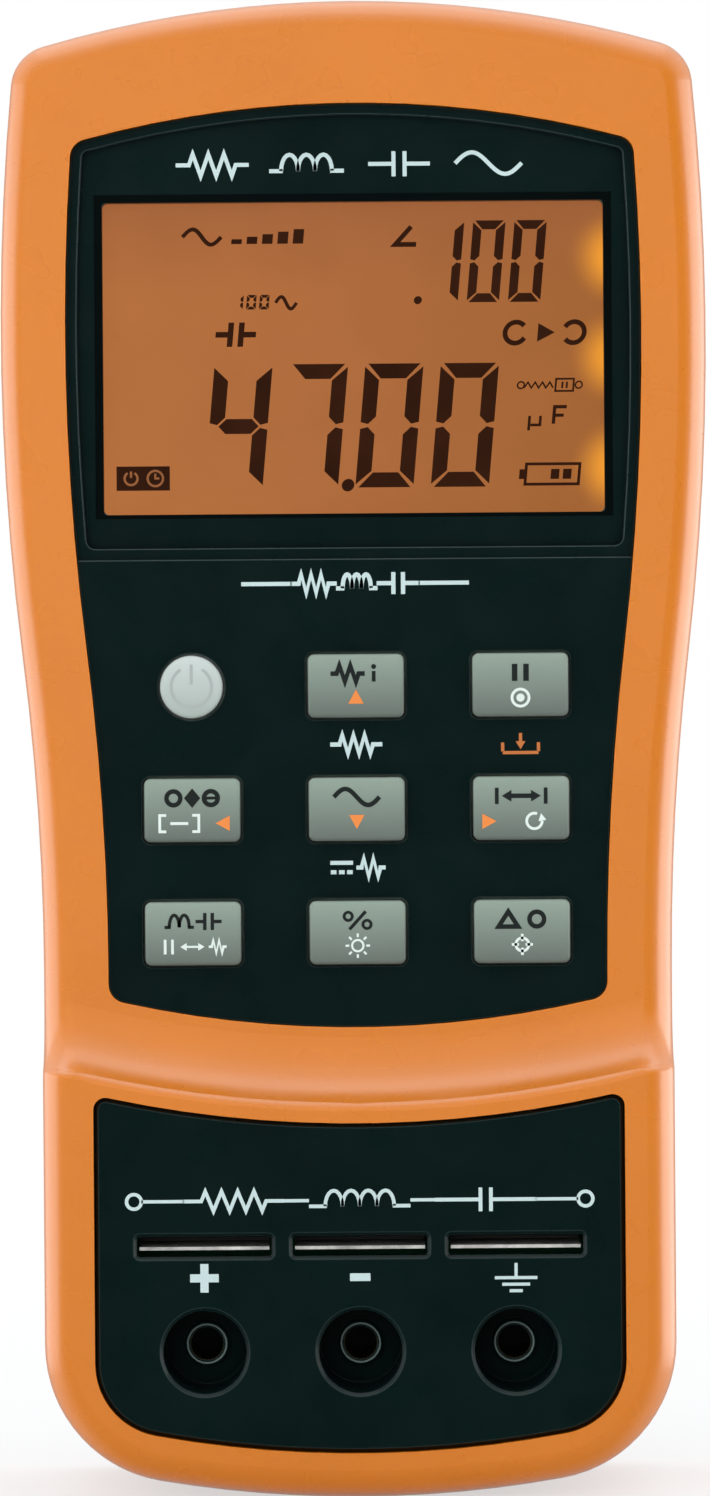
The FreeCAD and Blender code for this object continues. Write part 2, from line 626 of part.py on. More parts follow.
def make_rear_housing():
    """The rigid dark rear shell: battery bay, cover and stand recesses, screw towers."""
    skin = v.rubber_thick + v.bond_gap
    panel = outline_solid(v.rear_panel_inset + 0.15, v.rear_face_level, -BLOCK_LEVEL + 4)
    solid = rear_solid(skin).fuse(panel).cut(outline_solid(v.wall_inset, v.rear_wall_level, 0))
    bay_half = v.cell_wide / 2 + 1.1
    bay_low = v.cell_low - 0.4
    foot = v.rear_wall_level - 1
    wall = v.bay_wall
    adds = [block((-bay_half - wall, bay_half + wall), (bay_low - wall, v.bay_high + wall),
                  (foot, v.cell_front_level + 0.1 + wall))]
    adds += [rod(x, z, v.rear_post / 2, (foot, v.post_meet_level - 0.1)) for x, z in CASE_SCREWS]
    adds += [rod(x, z, 3.75, (foot, -7.0)) for x, z in COVER_SCREWS]
    solid = fused([solid] + adds)
    cuts = [
        plate_block((0, (v.cover_low + v.cover_high) / 2),
                    (v.cover_wide + 2 * v.cover_gap, v.cover_high - v.cover_low + 2 * v.cover_gap),
                    v.cover_corner + v.cover_gap, (-BLOCK_LEVEL - 1, v.rear_face_level + v.cover_thick + 0.05)),
        block((-bay_half, bay_half), (bay_low, v.bay_high), (-BLOCK_LEVEL, v.cell_front_level + 0.1)),
        block((-7, 7), (v.bay_high - 1, v.bay_high + v.bay_wall + 1), (-10.5, -2.0)),
        stand_recess(),
    ]
    for x, z in CASE_SCREWS:
        cuts.append(rod(x, z, v.head_bore / 2, (-BLOCK_LEVEL - 1, v.head_seat_level)))
        cuts.append(rod(x, z, 1.6, (v.head_seat_level - 1, 0)))
    for x, z in COVER_SCREWS:
        cuts.append(rod(x, z, v.insert_diameter / 2, (-BLOCK_LEVEL, -9.5)))
    for side in (-1, 1):
        cuts.append(Part.makeCylinder(v.pin_diameter / 2 + 0.02, v.pin_reach + 1,
                                      hinge_point(side * v.stand_wide / 2), Vector(side, 0, 0)))
    cuts.append(jack_bore())
    for cut in cuts:
        solid = solid.cut(cut)
    shape_part("rear_housing", solid.removeSplitter())


def plate_block(centre, size, corner, levels):
    (x, z), (width, height) = centre, size
    plain = block((x - width / 2, x + width / 2), (z - height / 2, z + height / 2), levels)
    return rounded_edges(plain, corner, runs_along_y)


def hinge_point(x):
    """A point of the stand's hinge axis."""
    return Vector(x, -v.hinge_level, v.hinge_height)


def stand_recess():
    """The pocket the folded stand lies in, open past the hinge for the stand's rounded end."""
    half = v.stand_wide / 2 + v.stand_gap
    top = v.hinge_height + v.stand_thick / 2 + 0.4
    low = v.stand_low - v.stand_gap
    pocket_block = block((-half, half), (low, top), (-BLOCK_LEVEL - 1, v.stand_floor_level))
    return rounded_edges(pocket_block, v.stand_corner + v.stand_gap,
                         lambda edge: runs_along_y(edge) and edge.BoundBox.ZMax < low + 1)


def make_tilt_stand():
    """A flat wire-stiff plate with a rounded hinge end, a finger notch and two stiffening pockets."""
    half = v.stand_wide / 2
    radius = v.stand_thick / 2
    levels = (v.hinge_level - radius, v.hinge_level + radius)
    plate = block((-half, half), (v.stand_low, v.hinge_height), levels)
    plate = rounded_edges(plate, v.stand_corner,
                          lambda edge: runs_along_y(edge) and edge.BoundBox.ZMax < v.stand_low + 1)
    barrel = Part.makeCylinder(radius, v.stand_wide, hinge_point(-half), Vector(1, 0, 0))
    solid = plate.fuse(barrel).removeSplitter()
    rib = 4.5
    middle = (v.stand_low + v.finger_radius + v.hinge_height) / 2
    length = v.hinge_height - v.stand_low - v.finger_radius - 2 * rib
    for side in (-1, 1):
        centre = (side * (half - rib) / 2, middle)
        size = (half - 1.5 * rib, length)
        solid = solid.cut(plate_block(centre, size, 2.5, (levels[0] - 1, levels[0] + 1.1)))
        solid = solid.cut(plate_block(centre, size, 2.5, (levels[1] - 1.1, levels[1] + 1)))
        solid = solid.cut(Part.makeCylinder(v.pin_diameter / 2 + 0.04, v.pin_reach + 0.2,
                                            hinge_point(side * half), Vector(-side, 0, 0)))
    solid = solid.cut(rod(0, v.stand_low - 2.0, v.finger_radius, (levels[0] - 1, levels[1] + 1)))
    shape_part("tilt_stand", solid)


def make_hinge_pins():
    """Two steel pins held in the rear housing; the stand turns on their inner ends."""
    pins = []
    for side in (-1, 1):
        start = side * (v.stand_wide / 2 - v.pin_reach)
        pins.append(Part.makeCylinder(v.pin_diameter / 2, 2 * v.pin_reach + 0.3, hinge_point(start),
                                      Vector(side, 0, 0)))
    shape_part("stand_hinge_pins", Part.makeCompound(pins))


# ------------------------------------------------------------------------------------- battery bay
def make_battery_cover():
    cover = new_body("battery_cover")
    centre = (0, (d.cover_low + d.cover_high) / 2)
    levels = (d.rear_face_level, d.rear_face_level + d.cover_thick)
    slab(cover, "cover_plate", centre, levels, (d.cover_wide, d.cover_high - d.cover_low), d.cover_corner)
    for name, side in (("left", -1), ("right", 1)):
        place = (d.cover_screw_x * side, d.cover_screw_z)
        peg_hole(cover, f"cover_head_{name}", place, (d.rear_face_level - 1, d.rear_face_level + 1.3), 5.6)
        peg_hole(cover, f"cover_shank_{name}", place, (d.rear_face_level - 1, d.rear_face_level + 3), 2.7)
    grip_z = d.cover_high - 5
    for i in range(3):
        slab_hole(cover, f"cover_grip_{i + 1}", (0, grip_z - 2.4 * i),
                  (d.rear_face_level - 1, d.rear_face_level + 0.6), (16, 1.2), 0.5)


def make_cover_screws():
    """Two screws sunk in the cover, and the brass inserts they turn into."""
    seat = v.rear_face_level + 0.1 + v.cover_head_tall
    seed = screw("cover_screw_seed", seat, d.cover_head, d.cover_head_tall, d.cover_shank, d.cover_tip_level)
    shape = cross_cut(seed, v.cover_head * v.recess_share / 2, seat - v.cover_head_tall, v.recess_deep / 2)
    copies("battery_cover_screws", shape, COVER_SCREWS)
    front = d.rear_face_level + d.cover_thick + 0.4
    outer = d.insert_diameter / 2 - 0.02
    bore = d.cover_shank / 2 + 0.05
    points = [(bore, front), (outer, front), (outer, -10.0), (bore, -10.0)]
    repeated("cover_screw_inserts", lathe("cover_insert_seed", points, keep=False), COVER_SCREWS)


def upright_block(size, low, high, corner):
    """A block standing along Z about the battery's own axis, with its four long edges rounded."""
    (width, deep), middle = size, v.cell_front_level - v.cell_deep / 2
    plain = block((-width / 2, width / 2), (low, high), (middle - deep / 2, middle + deep / 2))

    def upright(edge):
        return edge.BoundBox.XLength < 1e-6 and edge.BoundBox.YLength < 1e-6

    return rounded_edges(plain, corner, upright)


def make_battery():
    """A 9 V block: steel jacket, two end plates, six flat cells and the two snap terminals."""
    wall, end = v.jacket_wall, v.cell_end
    low, high = v.cell_low, v.cell_low + v.cell_long
    outer = upright_block((v.cell_wide, v.cell_deep), low, high, v.jacket_corner)
    corner = v.jacket_corner - wall
    inner = upright_block((v.cell_wide - 2 * wall, v.cell_deep - 2 * wall), low - 1, high + 1, corner)
    shape_part("battery_jacket", outer.cut(inner))
    inside = (v.cell_wide - 2 * wall - 0.1, v.cell_deep - 2 * wall - 0.1)
    shape_part("battery_ends", Part.makeCompound([
        upright_block(inside, start, start + end, corner) for start in (low + 0.2, high - 0.2 - end)]))
    cells_low = low + 0.3 + end
    step = (v.cell_long - 2 * end - 0.6) / 6
    starts = [cells_low + i * step for i in range(6)]
    shape_part("battery_cells", Part.makeCompound([
        upright_block(inside, start, start + step - 0.15, corner) for start in starts]))
    middle = v.cell_front_level - v.cell_deep / 2
    seat = high - 0.2
    male = Part.makeCylinder(v.male_snap / 2, v.snap_tall, Vector(-v.snap_offset, -middle, seat))
    female = Part.makeCylinder(v.female_snap / 2, v.snap_tall, Vector(v.snap_offset, -middle, seat))
    cup = Part.makeCylinder(v.female_snap / 2 - 0.9, v.snap_tall, Vector(v.snap_offset, -middle, seat + 0.6))
    shape_part("battery_terminals", Part.makeCompound([male, female.cut(cup)]))


def make_battery_snap():
    """The clip on the battery's terminals, its two cups open downwards, and its two insulated leads."""
    middle = v.cell_front_level - v.cell_deep / 2
    low = v.cell_low + v.cell_long + 0.4
    clip = rounded_edges(block((-12.5, 12.5), (low, low + 5.0), (middle - 6.3, middle + 6.3)), 2.5,
                         lambda edge: edge.BoundBox.ZLength > 4 and edge.BoundBox.XLength < 1e-6)
    for x, snap in ((-v.snap_offset, v.male_snap), (v.snap_offset, v.female_snap)):
        clip = clip.cut(Part.makeCylinder(snap / 2 + 0.1, 2.7, Vector(x, -middle, low - 0.1)))
    shape_part("battery_snap", clip)
    for label, x in (("battery_lead_red", -3.0), ("battery_lead_black", 3.0)):
        points = [
            Vector(x, -middle, low + 5.02), Vector(1.3 * x, -middle - 3.5, low + 9.0),
            Vector(1.6 * x, -BOARD_BACK + 2.5, low + 11.2), Vector(1.7 * x, -BOARD_BACK + 0.05, low + 11.6),
        ]
        curve = Part.BSplineCurve()
        curve.interpolate(Points=points, InitialTangent=Vector(0, 0, 1), FinalTangent=Vector(0, -1, 0))
        path = Part.Wire(curve.toShape())
        start = Part.Wire(Part.makeCircle(0.7, points[0], Vector(0, 0, 1)))
        shape_part(label, path.makePipeShell([start], True, True))


def make_battery_foam():
    foam = new_body("battery_foam")
    back = d.rear_face_level + d.cover_thick
    slab(foam, "foam_pad", (0, d.cell_low + d.cell_long / 2), (back, back + d.foam_thick), (20, 34), 2.0)


# ------------------------------------------------------------------------------------- keys
def make_key(name, x, z):
    """A moulded cap with rounded edges, a retaining flange behind the keypad face and a plunger."""
    key = new_body(name)
    column = round(x / v.key_pitch_x)
    row = round((z - v.key_row) / v.key_pitch_z)
    place = (d.key_pitch_x * column, d.key_row + d.key_pitch_z * row)
    flange_back = d.flange_level - d.flange_thick
    if name == "key_power":
        peg(key, name + "_cap", place, (d.flange_level, d.key_level), d.power_diameter)
        round_face(key, name + "_edge", v.key_level, d.key_edge)
        peg(key, name + "_flange", place, (flange_back, d.flange_level),
            d.power_diameter + d.flange_extra * 2)
    else:
        slab(key, name + "_cap", place, (d.flange_level, d.key_level), (d.key_wide, d.key_tall), d.key_corner)
        round_face(key, name + "_edge", v.key_level, d.key_edge)
        slab(key, name + "_flange", place, (flange_back, d.flange_level),
             (d.key_wide + d.flange_extra * 2, d.key_tall + d.flange_extra * 2), d.key_corner + d.flange_extra)
    peg(key, name + "_plunger", place, (d.plunger_end_level, flange_back), d.plunger_diameter)


def make_keypad_mat():
    """A silicone sheet on the circuit board with a hollow cone around each plunger."""
    back = v.board_level + v.solder_gap
    sheet_solid = plate_block((0, v.key_row), (v.mat_wide, v.mat_tall), 2.0, (back, back + v.mat_thick))
    cones = []
    wells = []
    for x, z in KEYS.values():
        cones.append(Part.makeCone(v.cone_base / 2, v.cone_base / 2 - 1.6, v.cone_level - back,
                                   Vector(x, -back, z), Vector(0, -1, 0)))
        wells.append(rod(x, z, v.plunger_diameter / 2 + 0.12, (back - 1, v.cone_level + 1)))
    shape_part("keypad_mat", fused([sheet_solid] + cones).cut(Part.makeCompound(wells)))


# ------------------------------------------------------------------------------------- display stack
def make_display():
    centre = (0, d.view_centre)
    gasket = new_body("window_gasket")
    levels = (d.gasket_level - d.gasket_thick, d.gasket_level)
    slab(gasket, "gasket_sheet", centre, levels, (d.glass_wide, d.glass_tall), 1.0)
    slab_hole(gasket, "gasket_opening", centre, levels, (d.view_width + 1.0, d.view_height + 1.0),
              d.view_corner)

    window = new_body("display_window")
    slab(window, "window_pane", centre, (d.window_level - d.window_thick, d.window_level),
         (d.glass_wide, d.glass_tall), 1.0)

    lcd = new_body("lcd_glass")
    slab(lcd, "lcd_pane", centre, (d.lcd_level - d.lcd_thick, d.lcd_level), (d.lcd_wide, d.lcd_tall), 0.3)

    frame = new_body("lcd_frame")
    levels = (d.board_level + d.solder_gap, d.frame_level)
    slab(frame, "frame_block", centre, levels, (d.frame_wide, d.frame_tall), 1.2)
    slab_hole(frame, "frame_opening", centre, levels, (d.lcd_wide + 0.4, d.lcd_tall + 0.3), 0.4)

    guide = new_body("backlight_guide")
    levels = (d.guide_level - d.guide_thick, d.guide_level)
    slab(guide, "guide_plate", (-d.led_strip_wide / 2, d.view_centre), levels, (d.guide_wide, d.guide_tall), 0.5)

    strip = new_body("backlight_leds")
    slab(strip, "led_strip", ((d.guide_wide + 0.2) / 2, d.view_centre), levels,
         (d.led_strip_wide, d.guide_tall - 2), 0.3)

    offset = (v.lcd_tall - v.zebra_tall) / 2
    strips = [plate_block((0, v.view_centre + side * offset), (56, v.zebra_tall - 0.2), 0.3,
                          (v.board_level + v.solder_gap, v.guide_level)) for side in (-1, 1)]
    shape_part("zebra_connectors", Part.makeCompound(strips))


# ------------------------------------------------------------------------------------- circuit board
def make_main_board():
    solid = outline_solid(v.board_inset, BOARD_BACK, v.board_level)
    solid = solid.common(block((-v.case_width, v.case_width), (9.0, 175.0), (0, BLOCK_LEVEL)))
    holes = [rod(x, z, v.front_post / 2 + 0.4, (0, BLOCK_LEVEL)) for x, z in CASE_SCREWS]
    holes += [rod(x, z, 1.3, (0, BLOCK_LEVEL)) for x, z in BOARD_SCREWS]
    holes += [rod(x, v.socket_height, v.sleeve_front / 2 + 0.05, (0, BLOCK_LEVEL)) for x in TERMINALS]
    tail_half = v.contact_tail / 2 + 0.05
    tail_rise = v.contact_high_z + 0.4
    holes += [block((x - tail_half, x + tail_half), (v.slot_height - tail_rise, v.slot_height + tail_rise),
                    (0, BLOCK_LEVEL)) for x in TERMINALS]
    shape_part("main_board", solid.cut(Part.makeCompound(holes)))


def make_terminals():
    """Three brass sleeves for 4 mm plugs, each inside a plastic post, and the leaves behind the slots."""
    flange_front = BOARD_BACK - 0.05
    flange_back = BOARD_BACK - v.tail_reach
    places = [(x, v.socket_height) for x in TERMINALS]
    sleeve = lathe("sleeve_seed", [
        (d.plug_bore / 2, d.sleeve_end_level), (d.sleeve_back / 2, d.sleeve_end_level),
        (d.sleeve_back / 2, flange_back), (d.sleeve_flange / 2, flange_back),
        (d.sleeve_flange / 2, flange_front), (d.sleeve_front / 2, flange_front),
        (d.sleeve_front / 2, d.sleeve_level), (d.plug_bore / 2, d.sleeve_level)], keep=False)
    repeated("banana_sockets", sleeve, places)
    seat = v.board_level + v.solder_gap
    post = lathe("post_seed", [
        (d.sleeve_front / 2 + d.sleeve_play, seat), (d.post_diameter / 2, seat),
        (d.post_diameter / 2, d.post_level - d.post_edge), (d.post_diameter / 2 - d.post_edge, d.post_level),
        (d.post_mouth / 2, d.post_level), (d.post_mouth / 2, d.sleeve_level + d.sleeve_play),
        (d.sleeve_front / 2 + d.sleeve_play, d.sleeve_level + d.sleeve_play)], keep=False)
    repeated("socket_insulators", post, places)
    leaves = []
    half = v.contact_wide / 2
    tail_half = v.contact_tail / 2
    for x in TERMINALS:
        for offset, front in ((v.contact_low_z, v.contact_level), (v.contact_high_z, v.contact_hidden_level)):
            middle = v.slot_height + offset
            z_range = (middle - v.contact_thick / 2, middle + v.contact_thick / 2)
            leaf = block((x - half, x + half), z_range, (seat, front))
            tail = block((x - tail_half, x + tail_half), (z_range[0] + 0.05, z_range[1] - 0.05),
                         (flange_back, seat + 1))
            leaves.append(leaf.fuse(tail).removeSplitter())
    shape_part("slot_contacts", Part.makeCompound(leaves))


def make_dc_jack():
    """The power inlet: a square moulding on the board with a round nose through the right side."""
    inside = v.waist_half - v.wall_inset - 0.25
    height = (v.jack_height - v.jack_tall / 2, v.jack_height + v.jack_tall / 2)
    level = (v.board_level + v.solder_gap, v.jack_level + v.jack_tall / 2)
    solid = block((inside - v.jack_long, inside), height, level)

    def along_x(radius, start, end):
        origin = Vector(start, -v.jack_level, v.jack_height)
        return Part.makeCylinder(radius, end - start, origin, Vector(1, 0, 0))

    mouth = inside + v.wall_inset - 1.5
    floor = mouth - 9.5
    nose = along_x(v.jack_nose / 2, inside - 0.5, mouth)
    bore = along_x(v.jack_bore / 2, floor, mouth)
    pin = along_x(v.jack_pin / 2, floor - 0.3, mouth - 0.8)
    shape_part("dc_jack", fused([solid.fuse(nose).cut(bore), pin]))


def make_electronics():
    """The larger components on the back of the board."""
    top = d.board_level - d.board_thick - d.solder_gap
    face = top.value
    chip = new_body("measuring_chip")
    slab(chip, "chip_mould", (d.chip_x, d.chip_z), (top - d.chip_tall, top - 0.12),
         (d.chip_side, d.chip_side), 0.3)
    dimple = d.chip_side / 2 - 1.6
    peg_hole(chip, "chip_dimple", (d.chip_x - dimple, d.chip_z + dimple), (top - 2.0, top - 1.2), 1.0)
    legs = []
    flat_leg = (v.leg_long / 2, v.leg_wide / 2)
    upright_leg = (v.leg_wide / 2, v.leg_long / 2)
    for i in range(11):
        across = (i - 5) * v.leg_pitch
        for out in (-v.leg_offset, v.leg_offset):
            for x, z, (half_x, half_z) in ((out, across, flat_leg), (across, out, upright_leg)):
                middle_x, middle_z = v.chip_x + x, v.chip_z + z
                legs.append(block((middle_x - half_x, middle_x + half_x),
                                  (middle_z - half_z, middle_z + half_z), (face - 0.5, face)))
    shape_part("chip_legs", Part.makeCompound(legs))

    shield = new_body("shield_can")
    shield_back = top - d.shield_tall
    slab(shield, "shield_box", (d.shield_x, d.shield_z), (shield_back, top),
         (d.shield_wide, d.shield_high), 1.0)
    round_face(shield, "shield_edge", shield_back.value, 0.5)

    buzzer = new_body("buzzer")
    place = (d.buzzer_x, d.buzzer_z)
    peg(buzzer, "buzzer_case", place, (top - d.buzzer_tall, top), d.buzzer_diameter)
    buzzer_back = top - d.buzzer_tall
    peg_hole(buzzer, "buzzer_hole", place, (buzzer_back - 0.5, buzzer_back + 1.5), d.buzzer_port)

    crystal = new_body("crystal")
    slab(crystal, "crystal_can", (d.chip_x, d.crystal_z), (top - d.crystal_tall, top),
         (d.crystal_long, d.crystal_wide), d.crystal_wide / 2 - 0.1)

    can = lathe("capacitor_seed", [
        (0.0, top), (d.can_radius, top), (d.can_radius, top - 1.2), (d.can_radius - 0.2, top - 1.6),
        (d.can_radius - 0.15, top - d.can_tall + 0.5), (d.can_radius - 0.6, top - d.can_tall),
        (0.0, top - d.can_tall)], keep=False)
    repeated("capacitors", can, [
        (v.can_x, v.can_z), (v.can_x + v.can_step, v.can_z), (v.can_x, v.can_z - v.can_step)])

    chips = []
    for row in range(3):
        for column in range(9):
            x = (column - 4) * v.small_x
            z = v.small_z + v.small_step * row
            chips.append(block((x - v.small_long / 2, x + v.small_long / 2),
                               (z - v.small_wide / 2, z + v.small_wide / 2), (face - 0.6, face)))
    shape_part("small_parts", Part.makeCompound(chips))


# ------------------------------------------------------------------------------------- screws
def screw(name, seat, head, head_tall, shank, tip_level):
    """A domed screw head behind the seat level and a plain shank reaching forward to a tapered tip."""
    seat = sized(seat)
    crown = seat - head_tall
    return lathe(name, [
        (0.0, crown), (head / 2 - 0.6, crown), (head / 2, crown + 0.7), (head / 2, seat), (shank / 2, seat),
        (shank / 2, tip_level - 0.8), (shank / 2 - 0.5, tip_level), (0.0, tip_level)], keep=False)


def make_screws():
    seat = v.head_seat_level - v.solder_gap
    seed = screw("case_screw_seed", seat, d.case_head, d.case_head_tall, d.case_shank, d.case_tip_level)
    shape = cross_cut(seed, v.case_head * v.recess_share / 2, seat - v.case_head_tall, v.recess_deep)
    copies("case_screws", shape, CASE_SCREWS)
    under = BOARD_BACK - v.solder_gap
    seed = screw("board_screw_seed", under, d.board_head, d.board_head_tall, d.board_shank, d.board_tip_level)
    shape = cross_cut(seed, v.board_head * v.recess_share / 2, under - v.board_head_tall, v.recess_deep)
    copies("board_screws", shape, BOARD_SCREWS)


make_front_overmold()
make_front_housing()
make_terminal_panel()
make_rear_overmold()
make_rear_housing()
make_tilt_stand()
make_hinge_pins()
make_battery_cover()
make_cover_screws()
make_battery()
make_battery_snap()
make_battery_foam()
for key_label, (key_x, key_z) in KEYS.items():
    make_key(key_label, key_x, key_z)
make_keypad_mat()
make_display()
make_main_board()
make_terminals()
make_dc_jack()
make_electronics()
make_screws()
doc.recompute()

for item in doc.Objects:
    if "Invalid" in item.State or "Error" in item.State:
        raise RuntimeError(f"{item.Name} did not compute: {item.State}")
os.makedirs("parts", exist_ok=True)
for label, item in SUBPARTS.items():
    if item.Shape.isNull() or not item.Shape.isValid():
        raise RuntimeError(f"{label} has no valid shape")
    item.Shape.exportStep(f"parts/{label}.step")
    print(label, len(item.Shape.Solids), round(item.Shape.Volume))
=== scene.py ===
"""Looks for the handheld LCR meter: materials, printed symbols, the lit display's marks, light and camera.

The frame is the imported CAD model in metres: X to the meter's right, -Y towards the viewer, +Z up.
Flat artwork is drawn on pages in millimetres, with x across and z up the meter, and laid on a face at a
given level, which is a distance forward of the mid plane.
"""

import json
import math

import bpy
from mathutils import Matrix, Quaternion, Vector


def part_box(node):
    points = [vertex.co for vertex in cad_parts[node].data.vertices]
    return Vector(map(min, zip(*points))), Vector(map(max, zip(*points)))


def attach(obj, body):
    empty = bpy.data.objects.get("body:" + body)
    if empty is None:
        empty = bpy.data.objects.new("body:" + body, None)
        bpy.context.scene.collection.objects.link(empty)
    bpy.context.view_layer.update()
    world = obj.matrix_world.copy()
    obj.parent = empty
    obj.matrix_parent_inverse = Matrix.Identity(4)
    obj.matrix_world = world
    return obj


MM = 0.001
PRINT_PROUD = 0.03
SAMPLES_NEARBY = 6

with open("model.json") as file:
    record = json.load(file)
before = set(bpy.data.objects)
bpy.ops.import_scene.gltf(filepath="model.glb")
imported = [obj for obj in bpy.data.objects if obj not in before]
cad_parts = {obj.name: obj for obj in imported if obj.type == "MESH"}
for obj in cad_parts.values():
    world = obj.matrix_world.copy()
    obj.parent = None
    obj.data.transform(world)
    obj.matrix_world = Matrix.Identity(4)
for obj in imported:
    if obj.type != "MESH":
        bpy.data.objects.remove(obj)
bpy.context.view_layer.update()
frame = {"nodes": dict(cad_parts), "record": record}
NODES = frame["nodes"]


def centre_mm(node):
    """(x, z) of the middle of a CAD node, in millimetres."""
    low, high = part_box(node)
    return (low.x + high.x) / 2 / MM, (low.z + high.z) / 2 / MM


def front_mm(node):
    """How far forward of the mid plane a CAD node reaches, in millimetres."""
    return -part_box(node)[0].y / MM


# ---------------------------------------------------------------------------------- materials
def srgb(red, green, blue):
    """A display colour of 0 to 255 as a linear colour."""
    def linear(value):
        share = value / 255
        return share / 12.92 if share <= 0.04045 else ((share + 0.055) / 1.055) ** 2.4

    return linear(red), linear(green), linear(blue), 1.0


def add_node(material, kind, settings=None, **inputs):
    """A shader node; an input is given by its name, or as i and its number."""
    made = material.node_tree.nodes.new(kind)
    for name, value in (settings or {}).items():
        setattr(made, name, value)
    for name, value in inputs.items():
        key = int(name[1:]) if name[0] == "i" and name[1:].isdigit() else name.replace("_", " ")
        link_or_set(material, value, made.inputs[key])
    return made


def link_or_set(material, value, socket):
    if isinstance(value, bpy.types.NodeSocket):
        material.node_tree.links.new(value, socket)
    else:
        socket.default_value = value


def new_material(name):
    material = bpy.data.materials.new(name)
    material.use_nodes = True
    material.node_tree.nodes.clear()
    output = material.node_tree.nodes.new("ShaderNodeOutputMaterial")
    coordinates = add_node(material, "ShaderNodeTexCoord")
    return material, output.inputs["Surface"], coordinates.outputs["Object"]


def noise(material, place, size_mm, detail=3.0):
    """Noise with features about size_mm across, from 0 to 1."""
    scale = 1 / (size_mm * MM)
    return add_node(material, "ShaderNodeTexNoise", Vector=place, Scale=scale, Detail=detail).outputs[0]


def mapped(material, value, low, high, start=0.3, end=0.7):
    """The value's run from start to end, stretched to run from low to high."""
    return add_node(material, "ShaderNodeMapRange", i0=value, i1=start, i2=end, i3=low, i4=high).outputs[0]


def mixed(material, share, first, second):
    """The first colour at share 0, the second at share 1."""
    made = add_node(material, "ShaderNodeMix", {"data_type": "RGBA"})
    share_input, first_input, second_input = 0, 6, 7
    for index, value in ((share_input, share), (first_input, first), (second_input, second)):
        link_or_set(material, value, made.inputs[index])
    return made.outputs[2]


def shaded(colour, factor):
    """A colour made darker or paler by a factor."""
    return tuple(min(1.0, part * factor) for part in colour[:3]) + (1.0,)


def relief_normal(material, height, strength, depth_mm):
    """The normal of a surface roughened by a height pattern."""
    bump = add_node(material, "ShaderNodeBump", Height=height, Strength=strength, Distance=depth_mm * MM)
    return bump.outputs[0]


def surface(name, colour, roughness, grain_mm=0.35, grain_depth=0.012, tint=0.05, wear=0.06,
            soft_edge_highlight_mm=0.0, hollow_shade_mm=0.0, **principled):
    """A material with fine grain, slow drift in its colour and patches of duller and shinier skin.

    Its edges can be softened and paled with a painted highlight, and its hollows darkened with painted
    shade, each over a stated distance.
    """
    material, output, place = new_material(name)
    drift = mapped(material, noise(material, place, 14.0), 0.0, 1.0)
    base = mixed(material, drift, shaded(colour, 1 - tint), shaded(colour, 1 + tint))
    grain = noise(material, place, grain_mm, 2.0)
    bump = add_node(material, "ShaderNodeBump", Height=grain, Strength=0.6, Distance=grain_depth * MM)
    if soft_edge_highlight_mm:
        bevel = add_node(material, "ShaderNodeBevel", {"samples": SAMPLES_NEARBY}, Radius=soft_edge_highlight_mm * MM)
        soft = bevel.outputs[0]
        link_or_set(material, soft, bump.inputs["Normal"])
        sharp = add_node(material, "ShaderNodeNewGeometry").outputs["Normal"]
        match = add_node(material, "ShaderNodeVectorMath", {"operation": "DOT_PRODUCT"}, i0=soft, i1=sharp)
        # Painted highlight: where the softened normal parts from the true one, the colour turns towards a
        # pale grey.
        painted_edge_highlight = mapped(material, match.outputs["Value"], EDGE_HIGHLIGHT_SHARE, 0.0, 0.8, 0.99)
        base = mixed(material, painted_edge_highlight, base, EDGE_HIGHLIGHT_GREY)
    if hollow_shade_mm:
        # Painted shade: where ambient occlusion finds the surface enclosed, the colour darkens towards a
        # fifth of itself.
        openness = add_node(material, "ShaderNodeAmbientOcclusion", {"samples": SAMPLES_NEARBY},
                            Distance=hollow_shade_mm * MM)
        open_share = mapped(material, openness.outputs["AO"], 0.0, 1.0, 0.3, 0.8)
        base = mixed(material, open_share, shaded(colour, 0.2), base)
    patches = noise(material, place, 5.0, 1.0)
    dull = mapped(material, patches, roughness - wear, roughness + wear)
    shader = add_node(material, "ShaderNodeBsdfPrincipled", Base_Color=base, Roughness=dull,
                      Normal=bump.outputs[0], **principled)
    material.node_tree.links.new(shader.outputs[0], output)
    return material


def brushed(name, colour, roughness, stretch=(1.0, 1.0, 0.05)):
    """Metal with fine lines along one axis."""
    material, output, place = new_material(name)
    lines = add_node(material, "ShaderNodeMapping", Vector=place, Scale=stretch).outputs[0]
    scratches = noise(material, lines, 0.12, 4.0)
    dull = mapped(material, scratches, roughness - 0.08, roughness + 0.1)
    relief = relief_normal(material, scratches, 0.4, 0.006)
    drift = mapped(material, noise(material, place, 3.0), 0.0, 1.0)
    tone = mixed(material, drift, shaded(colour, 0.88), shaded(colour, 1.08))
    shader = add_node(material, "ShaderNodeBsdfPrincipled", Base_Color=tone, Roughness=dull, Metallic=1.0,
                      Normal=relief)
    material.node_tree.links.new(shader.outputs[0], output)
    return material


